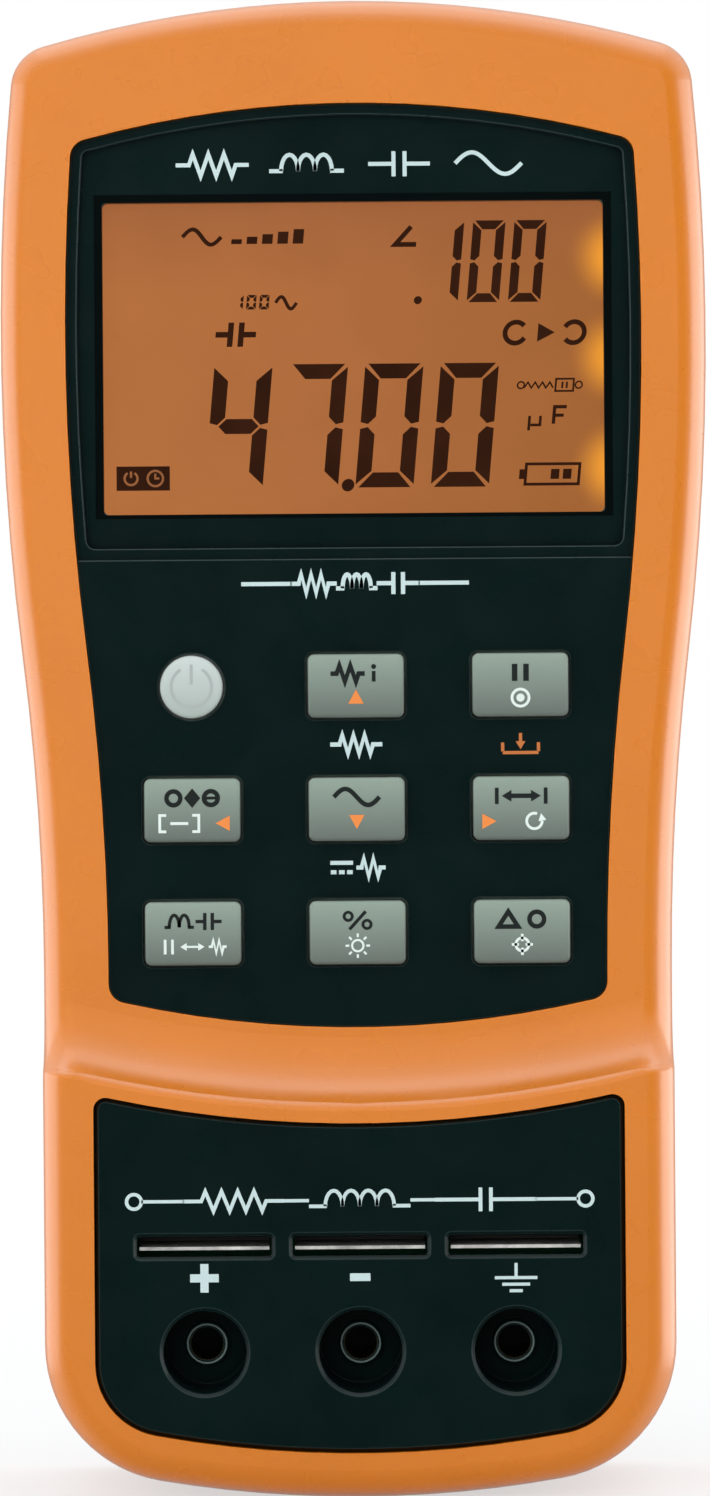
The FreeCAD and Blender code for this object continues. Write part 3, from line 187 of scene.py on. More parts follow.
def contact_metal(name, colour, roughness):
    """Plated spring leaves, darkened with painted shade above the middle of their slots."""
    material, output, place = new_material(name)
    middle = centre_mm("slot_contacts")[1] * MM
    up = add_node(material, "ShaderNodeSeparateXYZ", Vector=place).outputs[2]
    upper_painted_shade = mapped(material, up, 0.0, 1.0, middle - 0.05 * MM, middle + 0.15 * MM)
    blotch = mapped(material, noise(material, place, 2.5, 4.0), 0.5, 1.1)
    bright = add_node(material, "ShaderNodeVectorMath", {"operation": "SCALE"},
                      Vector=colour[:3], Scale=blotch)
    # Painted shade: above the slot's middle the leaves turn nearly black.
    tone = mixed(material, upper_painted_shade, bright.outputs[0], shaded(colour, 0.04))
    lines = noise(material, place, 0.1, 4.0)
    relief = relief_normal(material, lines, 0.4, 0.005)
    shader = add_node(material, "ShaderNodeBsdfPrincipled", Base_Color=tone, Metallic=0.35, Normal=relief,
                      Roughness=mapped(material, lines, roughness - 0.05, roughness + 0.1))
    material.node_tree.links.new(shader.outputs[0], output)
    return material


def key_plastic_with_painted_light(name, top, bottom):
    """Satin key plastic with painted light: paler towards the key's upper edge, darker towards its lower
    edge.
    """
    material, output, place = new_material(name)
    generated = add_node(material, "ShaderNodeTexCoord").outputs["Generated"]
    height = add_node(material, "ShaderNodeSeparateXYZ", Vector=generated).outputs[2]
    # Painted light and shade: the colour runs from the darker bottom colour up to the paler top colour.
    base = mixed(material, mapped(material, height, 0.0, 1.0, 0.1, 0.95), bottom, top)
    speck = noise(material, place, 0.25, 2.0)
    dull = mapped(material, noise(material, place, 4.0, 4.0), 0.38, 0.5)
    relief = relief_normal(material, speck, 0.5, 0.008)
    shader = add_node(material, "ShaderNodeBsdfPrincipled", Base_Color=base, Roughness=dull, Normal=relief)
    material.node_tree.links.new(shader.outputs[0], output)
    return material


def glow_near(material, place, point, reach_mm):
    """1 at a point of the display, falling smoothly to 0 at the reach."""
    away = add_node(material, "ShaderNodeVectorMath", {"operation": "DISTANCE"}, i0=place, i1=point)
    near = add_node(material, "ShaderNodeMapRange", {"interpolation_type": "SMOOTHERSTEP"},
                    i0=away.outputs["Value"], i1=0.0, i2=reach_mm * MM, i3=1.0, i4=0.0)
    return near.outputs[0]


def lit_glass(name):
    """The backlit display: amber, brighter at the left and at the lamps behind its right edge."""
    material, output, place = new_material(name)
    low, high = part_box("lcd_glass")
    across = add_node(material, "ShaderNodeSeparateXYZ", Vector=place).outputs
    left = mapped(material, across[0], 1.0, 0.0, low.x, low.x + 0.6 * (high.x - low.x))
    colour = mixed(material, left, LCD_MIDDLE, LCD_LEFT)
    right = mapped(material, across[0], 0.0, 1.0, 0.0, high.x - 5 * MM)
    colour = mixed(material, right, colour, LCD_RIGHT)
    top = mapped(material, across[2], 0.0, 0.8, high.z - 12 * MM, high.z)
    colour = mixed(material, top, colour, LCD_TOP)
    for share in LAMP_HEIGHTS:
        lamp = Vector((high.x + LAMP_OUTSIDE * MM, low.y, low.z + share * (high.z - low.z)))
        glow = glow_near(material, place, lamp, LAMP_REACH)
        colour = mixed(material, glow, colour, LCD_LAMP)
    cloud = mapped(material, noise(material, place, 9.0, 2.0), 0.97, 1.03)
    light = add_node(material, "ShaderNodeEmission", Color=colour, Strength=cloud)
    polish = add_node(material, "ShaderNodeBsdfPrincipled", Base_Color=shaded(LCD_MIDDLE, 0.1),
                      Roughness=0.5, Specular_IOR_Level=0.1)
    both = add_node(material, "ShaderNodeAddShader", i0=light.outputs[0], i1=polish.outputs[0])
    material.node_tree.links.new(both.outputs[0], output)
    return material


def clear_pane(name):
    """A thin clear window: seen through, with a faint reflection and hairline marks."""
    material, output, place = new_material(name)
    scuffs = add_node(material, "ShaderNodeMapping", Vector=place, Scale=(1.0, 1.0, 0.1)).outputs[0]
    dull = mapped(material, noise(material, scuffs, 0.6, 5.0), 0.03, 0.12)
    clear = add_node(material, "ShaderNodeBsdfTransparent", Color=(0.985, 0.99, 0.985, 1.0))
    gloss = add_node(material, "ShaderNodeBsdfGlossy", Color=(1, 1, 1, 1), Roughness=dull)
    facing = add_node(material, "ShaderNodeFresnel", IOR=1.3)
    both = add_node(material, "ShaderNodeMixShader",
                    i0=facing.outputs[0], i1=clear.outputs[0], i2=gloss.outputs[0])
    material.node_tree.links.new(both.outputs[0], output)
    return material


LCD_MIDDLE = srgb(172, 105, 59)
LCD_LEFT = srgb(180, 110, 60)
LCD_RIGHT = srgb(162, 99, 51)
LCD_TOP = srgb(158, 95, 57)
LCD_LAMP = srgb(255, 166, 50)
LAMP_HEIGHTS = (0.17, 0.50, 0.80)
LAMP_OUTSIDE = 0.4
LAMP_REACH = 7.0
ORANGE = (0.66, 0.182, 0.002, 1.0)
NEAR_BLACK = srgb(3, 23, 22)
# Pale grey of the painted edge highlight on soft edges, and its largest share.
EDGE_HIGHLIGHT_GREY = srgb(84, 108, 106)
EDGE_HIGHLIGHT_SHARE = 0.65
METAL = (0.62, 0.62, 0.64, 1.0)

FINISHES = {
    "orange_rubber": surface("orange_rubber", ORANGE, 0.28, 0.3, 0.009, 0.02, 0.015,
                             IOR=1.6, Specular_IOR_Level=1.0,
                             Coat_Weight=0.4, Coat_IOR=1.6, Coat_Roughness=0.3),
    # Dark plastic: painted highlight on edges within 0.22 mm, painted shade in hollows within 2 mm.
    "dark_plastic": surface("dark_plastic", NEAR_BLACK, 0.3, 0.25, 0.01, 0.14, 0.05, 0.22, 2.0,
                            Specular_IOR_Level=0.35),
    "rear_plastic": surface("rear_plastic", srgb(40, 43, 44), 0.58, 0.45, 0.03, 0.06, 0.06),
    # Keys: the paler top colour and darker bottom colour are painted light and shade.
    "key_plastic": key_plastic_with_painted_light("key_plastic", srgb(139, 155, 143), srgb(94, 104, 97)),
    "power_key": key_plastic_with_painted_light("power_key", srgb(192, 202, 198), srgb(156, 168, 162)),
    "steel": brushed("steel", METAL, 0.3),
    "brass_parts": brushed("brass_parts", (0.72, 0.52, 0.2, 1.0), 0.25, (1.0, 0.05, 1.0)),
    "plated_contacts": contact_metal("plated_contacts", (0.85, 0.84, 0.8, 1.0), 0.2),
    "battery_paint": surface("battery_paint", srgb(52, 56, 60), 0.3, 0.2, 0.004, 0.05, 0.06, Metallic=0.4),
    "cell_wrap": surface("cell_wrap", srgb(170, 170, 165), 0.35, 0.8, 0.01),
    "red_lead": surface("red_lead", srgb(170, 24, 20), 0.42, 0.5, 0.01),
    "black_lead": surface("black_lead", srgb(24, 24, 25), 0.42, 0.5, 0.01),
    "foam": surface("foam", srgb(44, 44, 46), 0.9, 0.4, 0.15, 0.2, 0.04),
    "black_foam": surface("black_foam", srgb(10, 12, 12), 0.85, 0.4, 0.08, 0.2, 0.04),
    "silicone": surface("silicone", srgb(150, 152, 150), 0.6, 0.6, 0.01, Subsurface_Weight=0.1),
    "clear_window": clear_pane("clear_window"),
    "lcd": lit_glass("lcd"),
    "light_guide": surface("light_guide", srgb(235, 190, 150), 0.35, 0.3, 0.02),
    "led_strip": surface("led_strip", srgb(225, 205, 160), 0.4, 0.5, 0.02),
    "circuit_board": surface("circuit_board", srgb(16, 70, 44), 0.3, 0.6, 0.01, 0.12, 0.05),
    "chip_mould": surface("chip_mould", srgb(28, 28, 30), 0.55, 0.15, 0.01),
    "capacitor_cans": brushed("capacitor_cans", (0.75, 0.75, 0.77, 1.0), 0.28, (1.0, 0.05, 1.0)),
}
# Painted highlight: pale grey for the light caught on the rims of the wells' posts.
POST_HIGHLIGHT = surface("post_edge", srgb(120, 138, 134), 0.4, 0.15, 0.003, 0.08, 0.05)
# Painted shade: near-black for the band of shade round the window's view.
RECESS_SHADE_BLACK = surface("recess_shade_black", srgb(2, 8, 8), 0.5, 0.25, 0.004, 0.1, 0.05, Specular_IOR_Level=0.1)
PRINT_WHITE = surface("print_white", srgb(186, 206, 206), 0.55, 0.15, 0.003, 0.05, 0.05)
PRINT_ORANGE = surface("print_orange", srgb(186, 108, 52), 0.55, 0.15, 0.003, 0.05, 0.05)
KEY_DARK = surface("key_dark_print", srgb(24, 32, 30), 0.5, 0.15, 0.003, 0.05, 0.05)
KEY_WHITE = surface("key_white_print", srgb(212, 224, 218), 0.5, 0.15, 0.003, 0.05, 0.05)
KEY_ORANGE = surface("key_orange_print", srgb(226, 132, 62), 0.5, 0.15, 0.003, 0.05, 0.05)
POWER_GREY = surface("power_mark", srgb(160, 168, 166), 0.5, 0.15, 0.003, 0.05, 0.05)


def lcd_mark_material(name, colour):
    """Dark liquid-crystal marks, a touch uneven as real ones are."""
    material, output, place = new_material(name)
    drift = mapped(material, noise(material, place, 6.0), 0.0, 1.0)
    tone = mixed(material, drift, shaded(colour, 0.85), shaded(colour, 1.2))
    light = add_node(material, "ShaderNodeEmission", Color=tone, Strength=1.0)
    material.node_tree.links.new(light.outputs[0], output)
    return material


LCD_MARK = lcd_mark_material("lcd_mark", srgb(52, 26, 14))
LCD_BADGE_SIGN = lcd_mark_material("lcd_ghost", srgb(158, 99, 62))


def dress_nodes():
    """Give every CAD node the finish that its record's material slot names."""
    slots = {part["node"]: part["material_slot"] for part in frame["record"]["subparts"]}
    for name, node in NODES.items():
        node.data.materials.clear()
        node.data.materials.append(FINISHES[slots[name]])


dress_nodes()


# ---------------------------------------------------------------------------------- flat artwork
ROUND_STEPS = 24


class Page:
    """Flat shapes in millimetres, gathered into one mesh."""

    def __init__(self):
        self.points = []
        self.faces = []

    def polygon(self, points):
        start = len(self.points)
        self.points += [tuple(point) for point in points]
        self.faces.append(list(range(start, start + len(points))))

    def ribbon(self, points, width, closed=False):
        """A line of constant width with mitred corners."""
        points = [Vector(point) for point in points]
        count = len(points)
        start = len(self.points)
        for i, point in enumerate(points):
            before = points[i - 1] if closed or i > 0 else None
            after = points[(i + 1) % count] if closed or i < count - 1 else None
            sides = []
            if before is not None:
                sides.append((point - before).normalized())
            if after is not None:
                sides.append((after - point).normalized())
            along = sum(sides, Vector((0, 0))).normalized()
            normal = Vector((-along.y, along.x))
            first = Vector((-sides[0].y, sides[0].x))
            offset = normal * (width / 2 / max(0.35, normal.dot(first)))
            self.points += [tuple(point + offset), tuple(point - offset)]
        for i in range(count if closed else count - 1):
            a, b = start + 2 * i, start + 2 * ((i + 1) % count)
            self.faces.append([a, a + 1, b + 1, b])

    def ring(self, centre, radius, width, start=0.0, end=360.0):
        closed = end - start >= 360
        count = ROUND_STEPS if closed else ROUND_STEPS + 1
        angles = [math.radians(start + (end - start) * i / ROUND_STEPS) for i in range(count)]
        points = [(centre[0] + radius * math.cos(a), centre[1] + radius * math.sin(a)) for a in angles]
        self.ribbon(points, width, closed)

    def disc(self, centre, radius):
        angles = [2 * math.pi * i / ROUND_STEPS for i in range(ROUND_STEPS)]
        self.polygon([(centre[0] + radius * math.cos(a), centre[1] + radius * math.sin(a)) for a in angles])

    def bar(self, low, high):
        self.polygon([low, (high[0], low[1]), high, (low[0], high[1])])

    def triangle(self, centre, size, turn=0.0):
        """A solid triangle pointing up, turned anticlockwise by degrees."""
        shape = [(-size / 2, -size * 0.42), (size / 2, -size * 0.42), (0, size * 0.5)]
        c, s = math.cos(math.radians(turn)), math.sin(math.radians(turn))
        self.polygon([(centre[0] + x * c - z * s, centre[1] + x * s + z * c) for x, z in shape])

    def lay(self, name, material, level, body, lean=0.0, about=0.0):
        """Make the mesh, its shapes leaning to the right by lean per unit of height above about."""
        mesh = bpy.data.meshes.new(name)
        placed = [((x + lean * (z - about)) * MM, -level * MM, z * MM) for x, z in self.points]
        mesh.from_pydata(placed, [], self.faces)
        mesh.materials.append(material)
        made = bpy.data.objects.new(name, mesh)
        bpy.context.scene.collection.objects.link(made)
        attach(made, body)
        return made


def draw_zigzag(page, centre, width, height, stroke, peaks=3):
    """A resistor: straight leads and a zigzag between them."""
    x, z = centre
    lead = width * 0.18
    run = width - 2 * lead
    points = [(x - width / 2, z), (x - run / 2, z)]
    for i in range(peaks * 2):
        side = 1 if i % 2 == 0 else -1
        points.append((x - run / 2 + run * (i + 0.5) / (peaks * 2), z + height / 2 * side))
    points += [(x + run / 2, z), (x + width / 2, z)]
    page.ribbon(points, stroke)


def draw_coil(page, centre, width, height, stroke, turns=3):
    """An inductor: straight leads and humps between them."""
    x, z = centre
    lead = width * 0.16
    radius = (width - 2 * lead) / (2 * turns)
    for side in (-1, 1):
        ends = sorted((x + side * width / 2, x + side * (width / 2 - lead - stroke * 0.4)))
        page.bar((ends[0], z - stroke / 2), (ends[1], z + stroke / 2))
    for turn in range(turns):
        middle = x - width / 2 + lead + radius * (2 * turn + 1)
        angles = [math.pi * i / 10 for i in range(11)]
        hump = [(middle + radius * math.cos(angle), z + height * math.sin(angle)) for angle in angles]
        page.ribbon(hump, stroke)


def draw_capacitor(page, centre, width, height, stroke):
    """Two plates with a gap and a lead to each."""
    x, z = centre
    gap = height * 0.22
    for side in (-1, 1):
        plate = x + side * gap
        page.bar((plate - stroke / 2, z - height / 2), (plate + stroke / 2, z + height / 2))
        ends = sorted((x + side * (gap + stroke / 2), x + side * width / 2))
        page.bar((ends[0], z - stroke / 2), (ends[1], z + stroke / 2))


def draw_sine(page, centre, width, height, stroke):
    x, z = centre
    shares = [i / 20 for i in range(21)]
    wave = [(x + width * (share - 0.5), z + height / 2 * math.sin(2 * math.pi * share)) for share in shares]
    page.ribbon(wave, stroke)


def draw_arrow(page, tail, head, stroke, tip):
    """A level or upright arrow with a solid head."""
    (x0, z0), (x1, z1) = tail, head
    along = Vector((x1 - x0, z1 - z0)).normalized()
    neck = Vector(head) - along * tip
    page.ribbon([tail, tuple(neck)], stroke)
    across = Vector((-along.y, along.x)) * tip * 0.6
    page.polygon([tuple(neck - across), (x1, z1), tuple(neck + across)])


def draw_both_ways(page, centre, length, stroke, tip):
    """A level arrow with a head at each end."""
    x, z = centre
    for side in (-1, 1):
        draw_arrow(page, (x, z), (x + side * length / 2, z), stroke, tip)


def draw_sun(page, centre, size, stroke):
    """A ring with eight rays, for the display's light."""
    page.ring(centre, size * 0.24, stroke)
    for i in range(8):
        angle = math.pi * i / 4
        c, s = math.cos(angle), math.sin(angle)
        page.ribbon([(centre[0] + r * c, centre[1] + r * s) for r in (size * 0.36, size * 0.52)], stroke)


def draw_power(page, centre, radius, stroke):
    """A ring open at the top with a bar through the gap."""
    page.ring(centre, radius, stroke, 122, 418)
    page.bar((centre[0] - stroke / 2, centre[1] + radius * 0.12),
             (centre[0] + stroke / 2, centre[1] + radius * 1.1))


def draw_plus(page, centre, size, stroke):
    x, z = centre
    a, b = size / 2, stroke / 2
    corners = ((-b, -a), (b, -a), (b, -b), (a, -b), (a, b), (b, b),
               (b, a), (-b, a), (-b, b), (-a, b), (-a, -b), (-b, -b))
    page.polygon([(x + i, z + j) for i, j in corners])


def draw_minus(page, centre, size, stroke):
    page.bar((centre[0] - size / 2, centre[1] - stroke / 2), (centre[0] + size / 2, centre[1] + stroke / 2))


SEGMENTS = {"0": "abcdef", "1": "bc", "2": "abged", "3": "abgcd", "4": "fbgc", "5": "afgcd", "6": "afgedc",
            "7": "abc", "8": "abcdefg", "9": "abcdfg"}


def draw_digit(page, digit, left, bottom, width, height, stroke):
    """A seven-segment digit: mitred bars round a box and one across its middle."""
    right, top, middle = left + width, bottom + height, bottom + height / 2
    gap, half = stroke * 0.1, stroke / 2
    for segment in SEGMENTS[digit]:
        if segment in "ad":
            outer, inner = (top, top - stroke) if segment == "a" else (bottom, bottom + stroke)
            page.polygon([(left + gap + half * 0.2, outer), (right - gap - half * 0.2, outer),
                          (right - stroke - gap, inner), (left + stroke + gap, inner)])
        elif segment == "g":
            page.polygon([(left + gap + half, middle), (left + gap + stroke, middle + half),
                          (right - gap - stroke, middle + half), (right - gap - half, middle),
                          (right - gap - stroke, middle - half), (left + gap + stroke, middle - half)])
        else:
            outer, inner = (left, left + stroke) if segment in "ef" else (right, right - stroke)
            low, high = (bottom, middle) if segment in "ec" else (middle, top)
            far, near = (low, high) if segment in "ec" else (high, low)
            step = 1 if far < near else -1
            page.polygon([(outer, far + step * (gap + half * 0.2)),
                          (outer, near - step * (gap + half * 0.25)),
                          ((outer + inner) / 2, near - step * gap), (inner, near - step * (gap + half)),
                          (inner, far + step * (gap + stroke))])


# ---------------------------------------------------------------------------------- panel prints
# Levels of the printed faces, the width of a socket sleeve's flange, the view through the window with the
# painted shade band round it, and the radius of a post's rim.
DISPLAY_FLOOR = front_mm("window_gasket") + 1.62
KEYPAD_FACE = front_mm("key_auto") - 1.4
SLEEVE_FLANGE = 8.4
VIEW_WIDTH, VIEW_HEIGHT = 61.7, 38.4
RECESS_SHADE_WIDTH = 1.0
POST_RIM = 2.4


def print_upper_panel():
    """A strip over the display, a painted shade band round the window, a line over the keys and labels
    between their rows.
    """
    rim_page = Page()
    strip = centre_mm("display_window")[1] + 23.8
    draw_zigzag(rim_page, (-17.2, strip), 9.0, 2.7, 0.5)
    draw_coil(rim_page, (-5.6, strip - 0.8), 9.2, 2.0, 0.5)
    draw_capacitor(rim_page, (5.8, strip), 7.6, 3.1, 0.5)
    draw_sine(rim_page, (16.8, strip), 8.2, 2.7, 0.5)
    rim_page.lay("print_component_strip", PRINT_WHITE, DISPLAY_FLOOR + PRINT_PROUD, "case")

    shade_page = Page()
    half, middle = VIEW_WIDTH / 2, centre_mm("display_window")[1]
    low, high = middle - VIEW_HEIGHT / 2, middle + VIEW_HEIGHT / 2
    # Painted shade: a near-black band round the view, half as wide at the bottom, for the shaded walls of
    # the window's recess.
    shade_page.bar((-half - RECESS_SHADE_WIDTH, high), (half + RECESS_SHADE_WIDTH, high + RECESS_SHADE_WIDTH))
    shade_page.bar((-half - RECESS_SHADE_WIDTH, low - RECESS_SHADE_WIDTH / 2), (half + RECESS_SHADE_WIDTH, low))
    for side in (-1, 1):
        edges = sorted((side * half, side * (half + RECESS_SHADE_WIDTH)))
        shade_page.bar((edges[0], low), (edges[1], high))
    shade_page.lay("window_painted_shade", RECESS_SHADE_BLACK, DISPLAY_FLOOR + PRINT_PROUD, "case")

    face = Page()
    title = 112.1
    for side in (-1, 1):
        draw_minus(face, (side * 10.9, title), 6.2, 0.5)
    draw_zigzag(face, (-5.1, title), 5.7, 2.4, 0.52)
    draw_coil(face, (0.2, title - 0.6), 5.1, 1.7, 0.52)
    draw_capacitor(face, (5.3, title), 5.3, 2.7, 0.52)
    auto_x, auto_z = centre_mm("key_auto")
    down_x, down_z = centre_mm("key_down")
    label_drop = 7.2
    draw_zigzag(face, (auto_x, auto_z - label_drop), 6.4, 2.3, 0.52)
    label = down_z - label_drop
    draw_minus(face, (down_x - 1.9, label + 0.6), 2.8, 0.5)
    for i in range(3):
        draw_minus(face, (down_x - 2.9 + 1.0 * i, label - 0.55), 0.7, 0.5)
    draw_zigzag(face, (down_x + 1.7, label), 3.6, 2.3, 0.5, 2)
    face.lay("print_keypad_labels", PRINT_WHITE, KEYPAD_FACE + PRINT_PROUD, "case")

    save = Page()
    mode_x, mode_z = centre_mm("key_mode")
    base = mode_z - label_drop
    draw_arrow(save, (mode_x, base + 1.25), (mode_x, base - 0.75), 0.4, 1.0)
    draw_minus(save, (mode_x, base - 1.15), 4.4, 0.4)
    for side in (-1, 1):
        save.bar((mode_x + side * 2.2 - 0.2, base - 1.0), (mode_x + side * 2.2 + 0.2, base + 0.1))
    save.lay("print_store_label", PRINT_ORANGE, KEYPAD_FACE + PRINT_PROUD, "case")


def print_terminal_panel():
    """Marks over the wells, a test-piece line over the slots and painted highlights on the rims of the
    wells' posts.
    """
    level = front_mm("terminal_panel") + PRINT_PROUD
    marks = Page()
    row = 27.2
    pitch = (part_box("banana_sockets")[1].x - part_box("banana_sockets")[0].x) / MM / 2 - SLEEVE_FLANGE / 2
    draw_plus(marks, (-pitch, row), 3.5, 1.0)
    draw_minus(marks, (0, row), 2.5, 0.95)
    for i, half in enumerate((2.6, 1.7, 0.8)):
        draw_minus(marks, (pitch, row - 0.2 - 0.8 * i), half * 2, 0.38)
    marks.bar((pitch - 0.19, row - 0.01), (pitch + 0.19, row + 1.6))
    line = 36.6
    for side in (-1, 1):
        marks.ring((side * 27.6, line), 0.9, 0.42)
        draw_minus(marks, (side * 24.1, line), 5.2, 0.4)
        draw_minus(marks, (side * 7.7, line), 3.0, 0.4)
    draw_zigzag(marks, (-15.4, line), 12.4, 2.4, 0.44, 4)
    draw_coil(marks, (0, line - 0.7), 12.4, 1.9, 0.44, 4)
    draw_capacitor(marks, (15.4, line), 12.4, 2.9, 0.46)
    marks.lay("print_terminal_marks", PRINT_WHITE, level, "case")

    # Painted highlight: a thin pale ring at the rim of each post.
    highlight_rings = Page()
    height = centre_mm("socket_insulators")[1]
    for x in (-pitch, 0, pitch):
        highlight_rings.ring((x, height), POST_RIM, 0.2)
    highlight_rings.lay("post_highlight_rings", POST_HIGHLIGHT, front_mm("socket_insulators") + PRINT_PROUD, "case")


def key_page(name, draw, material, tag):
    """Draw one page of marks on a key; it moves with the key."""
    x, z = centre_mm(name)
    page = Page()
    draw(page, x, z)
    page.lay(f"{name}_{tag}", material, front_mm(name) + PRINT_PROUD, name)


# Heights of a key's dark and pale rows of marks from its middle, and the widths of bold and fine lines.
UPPER, LOWER = 1.5, -1.6
BOLD, FINE = 0.56, 0.34


def dark_auto(page, x, z):
    draw_zigzag(page, (x - 1.0, z + UPPER), 4.2, 2.0, BOLD, 2)
    page.disc((x + 2.2, z + UPPER + 0.85), 0.3)
    page.bar((x + 1.97, z + UPPER - 1.0), (x + 2.43, z + UPPER + 0.3))


def dark_mode(page, x, z):
    for side in (-0.7, 0.7):
        page.bar((x + side - 0.34, z + UPPER - 1.05), (x + side + 0.34, z + UPPER + 1.05))


def white_mode(page, x, z):
    page.ring((x, z + LOWER), 1.05, FINE)
    page.disc((x, z + LOWER), 0.5)


def dark_left(page, x, z):
    page.ring((x - 2.3, z + UPPER), 0.85, BOLD)
    page.polygon([(x, z + UPPER + 1.2), (x - 1.0, z + UPPER), (x, z + UPPER - 1.2), (x + 1.0, z + UPPER)])
    page.ring((x + 2.3, z + UPPER), 0.85, BOLD)
    page.bar((x + 1.7, z + UPPER - 0.18), (x + 2.9, z + UPPER + 0.18))


def white_left(page, x, z):
    for side in (-1, 1):
        edge = x - 1.6 + side * 2.4
        page.ribbon([(edge - side * 0.8, z + LOWER + 1.0), (edge, z + LOWER + 1.0), (edge, z + LOWER - 1.0),
                     (edge - side * 0.8, z + LOWER - 1.0)], 0.34)
    page.bar((x - 2.7, z + LOWER - 0.18), (x - 0.5, z + LOWER + 0.18))


def dark_down(page, x, z):
    draw_sine(page, (x, z + UPPER), 5.6, 2.0, BOLD)


def dark_right(page, x, z):
    draw_both_ways(page, (x, z + UPPER), 4.8, BOLD, 1.2)
    for side in (-1, 1):
        page.bar((x + side * 3.0 - 0.23, z + UPPER - 1.0), (x + side * 3.0 + 0.23, z + UPPER + 1.0))


def white_right(page, x, z):
    page.ring((x + 1.6, z + LOWER), 0.95, 0.34, 70, 360)
    page.triangle((x + 2.5, z + LOWER + 0.45), 1.0, 10)


def dark_null(page, x, z):
    draw_coil(page, (x - 1.7, z + UPPER - 0.7), 3.6, 1.5, 0.4, 2)
    draw_capacitor(page, (x + 1.9, z + UPPER), 3.2, 2.1, 0.42)


def white_null(page, x, z):
    for side in (-0.45, 0.45):
        page.bar((x - 3.0 + side - 0.17, z + LOWER - 0.9), (x - 3.0 + side + 0.17, z + LOWER + 0.9))
    draw_both_ways(page, (x - 0.1, z + LOWER), 3.0, 0.26, 0.8)
    draw_zigzag(page, (x + 3.0, z + LOWER), 2.2, 1.6, 0.32, 2)


def dark_light(page, x, z):
    for side in (-1, 1):
        page.ring((x + side * 1.15, z + UPPER - side * 0.5), 0.5, 0.36)
    page.ribbon([(x - 1.0, z + UPPER - 1.1), (x + 1.0, z + UPPER + 1.1)], 0.4)


def white_light(page, x, z):
    draw_sun(page, (x, z + LOWER), 2.9, 0.26)


def dark_delta(page, x, z):
    foot = z + UPPER - 0.9
    page.ribbon([(x - 2.9, foot), (x - 0.5, foot), (x - 1.7, z + UPPER + 0.95)], BOLD, True)
    page.ring((x + 1.8, z + UPPER), 0.9, BOLD)


def white_delta(page, x, z):
    page.ring((x, z + LOWER), 0.8, FINE)
    for turn in range(4):
        c, s = math.cos(turn * math.pi / 2), math.sin(turn * math.pi / 2)
        page.ribbon([(x + 0.4 * c, z + LOWER + 0.4 * s), (x + 1.3 * c, z + LOWER + 1.3 * s)], FINE)


def print_keys():
    """A dark mark on each key, a pale one on most, an orange arrow on four and the power key's sign."""
    for name, draw in (("key_auto", dark_auto), ("key_mode", dark_mode), ("key_left", dark_left),
                       ("key_down", dark_down), ("key_right", dark_right), ("key_null", dark_null),
                       ("key_light", dark_light), ("key_delta", dark_delta)):
        key_page(name, draw, KEY_DARK, "dark")
    for name, draw in (("key_mode", white_mode), ("key_left", white_left), ("key_right", white_right),
                       ("key_null", white_null), ("key_light", white_light), ("key_delta", white_delta)):
        key_page(name, draw, KEY_WHITE, "pale")
    for name, offset, turn in (("key_auto", (0, -1.4), 0), ("key_down", (0, -1.5), 180),
                               ("key_left", (3.8, -1.6), 90), ("key_right", (-4.0, -1.6), 270)):
        key_page(name, lambda page, x, z: page.triangle((x + offset[0], z + offset[1]), 1.9, turn),
                 KEY_ORANGE, "arrow")
    key_page("key_power", lambda page, x, z: draw_power(page, (x, z), 2.5, 0.36), POWER_GREY, "mark")


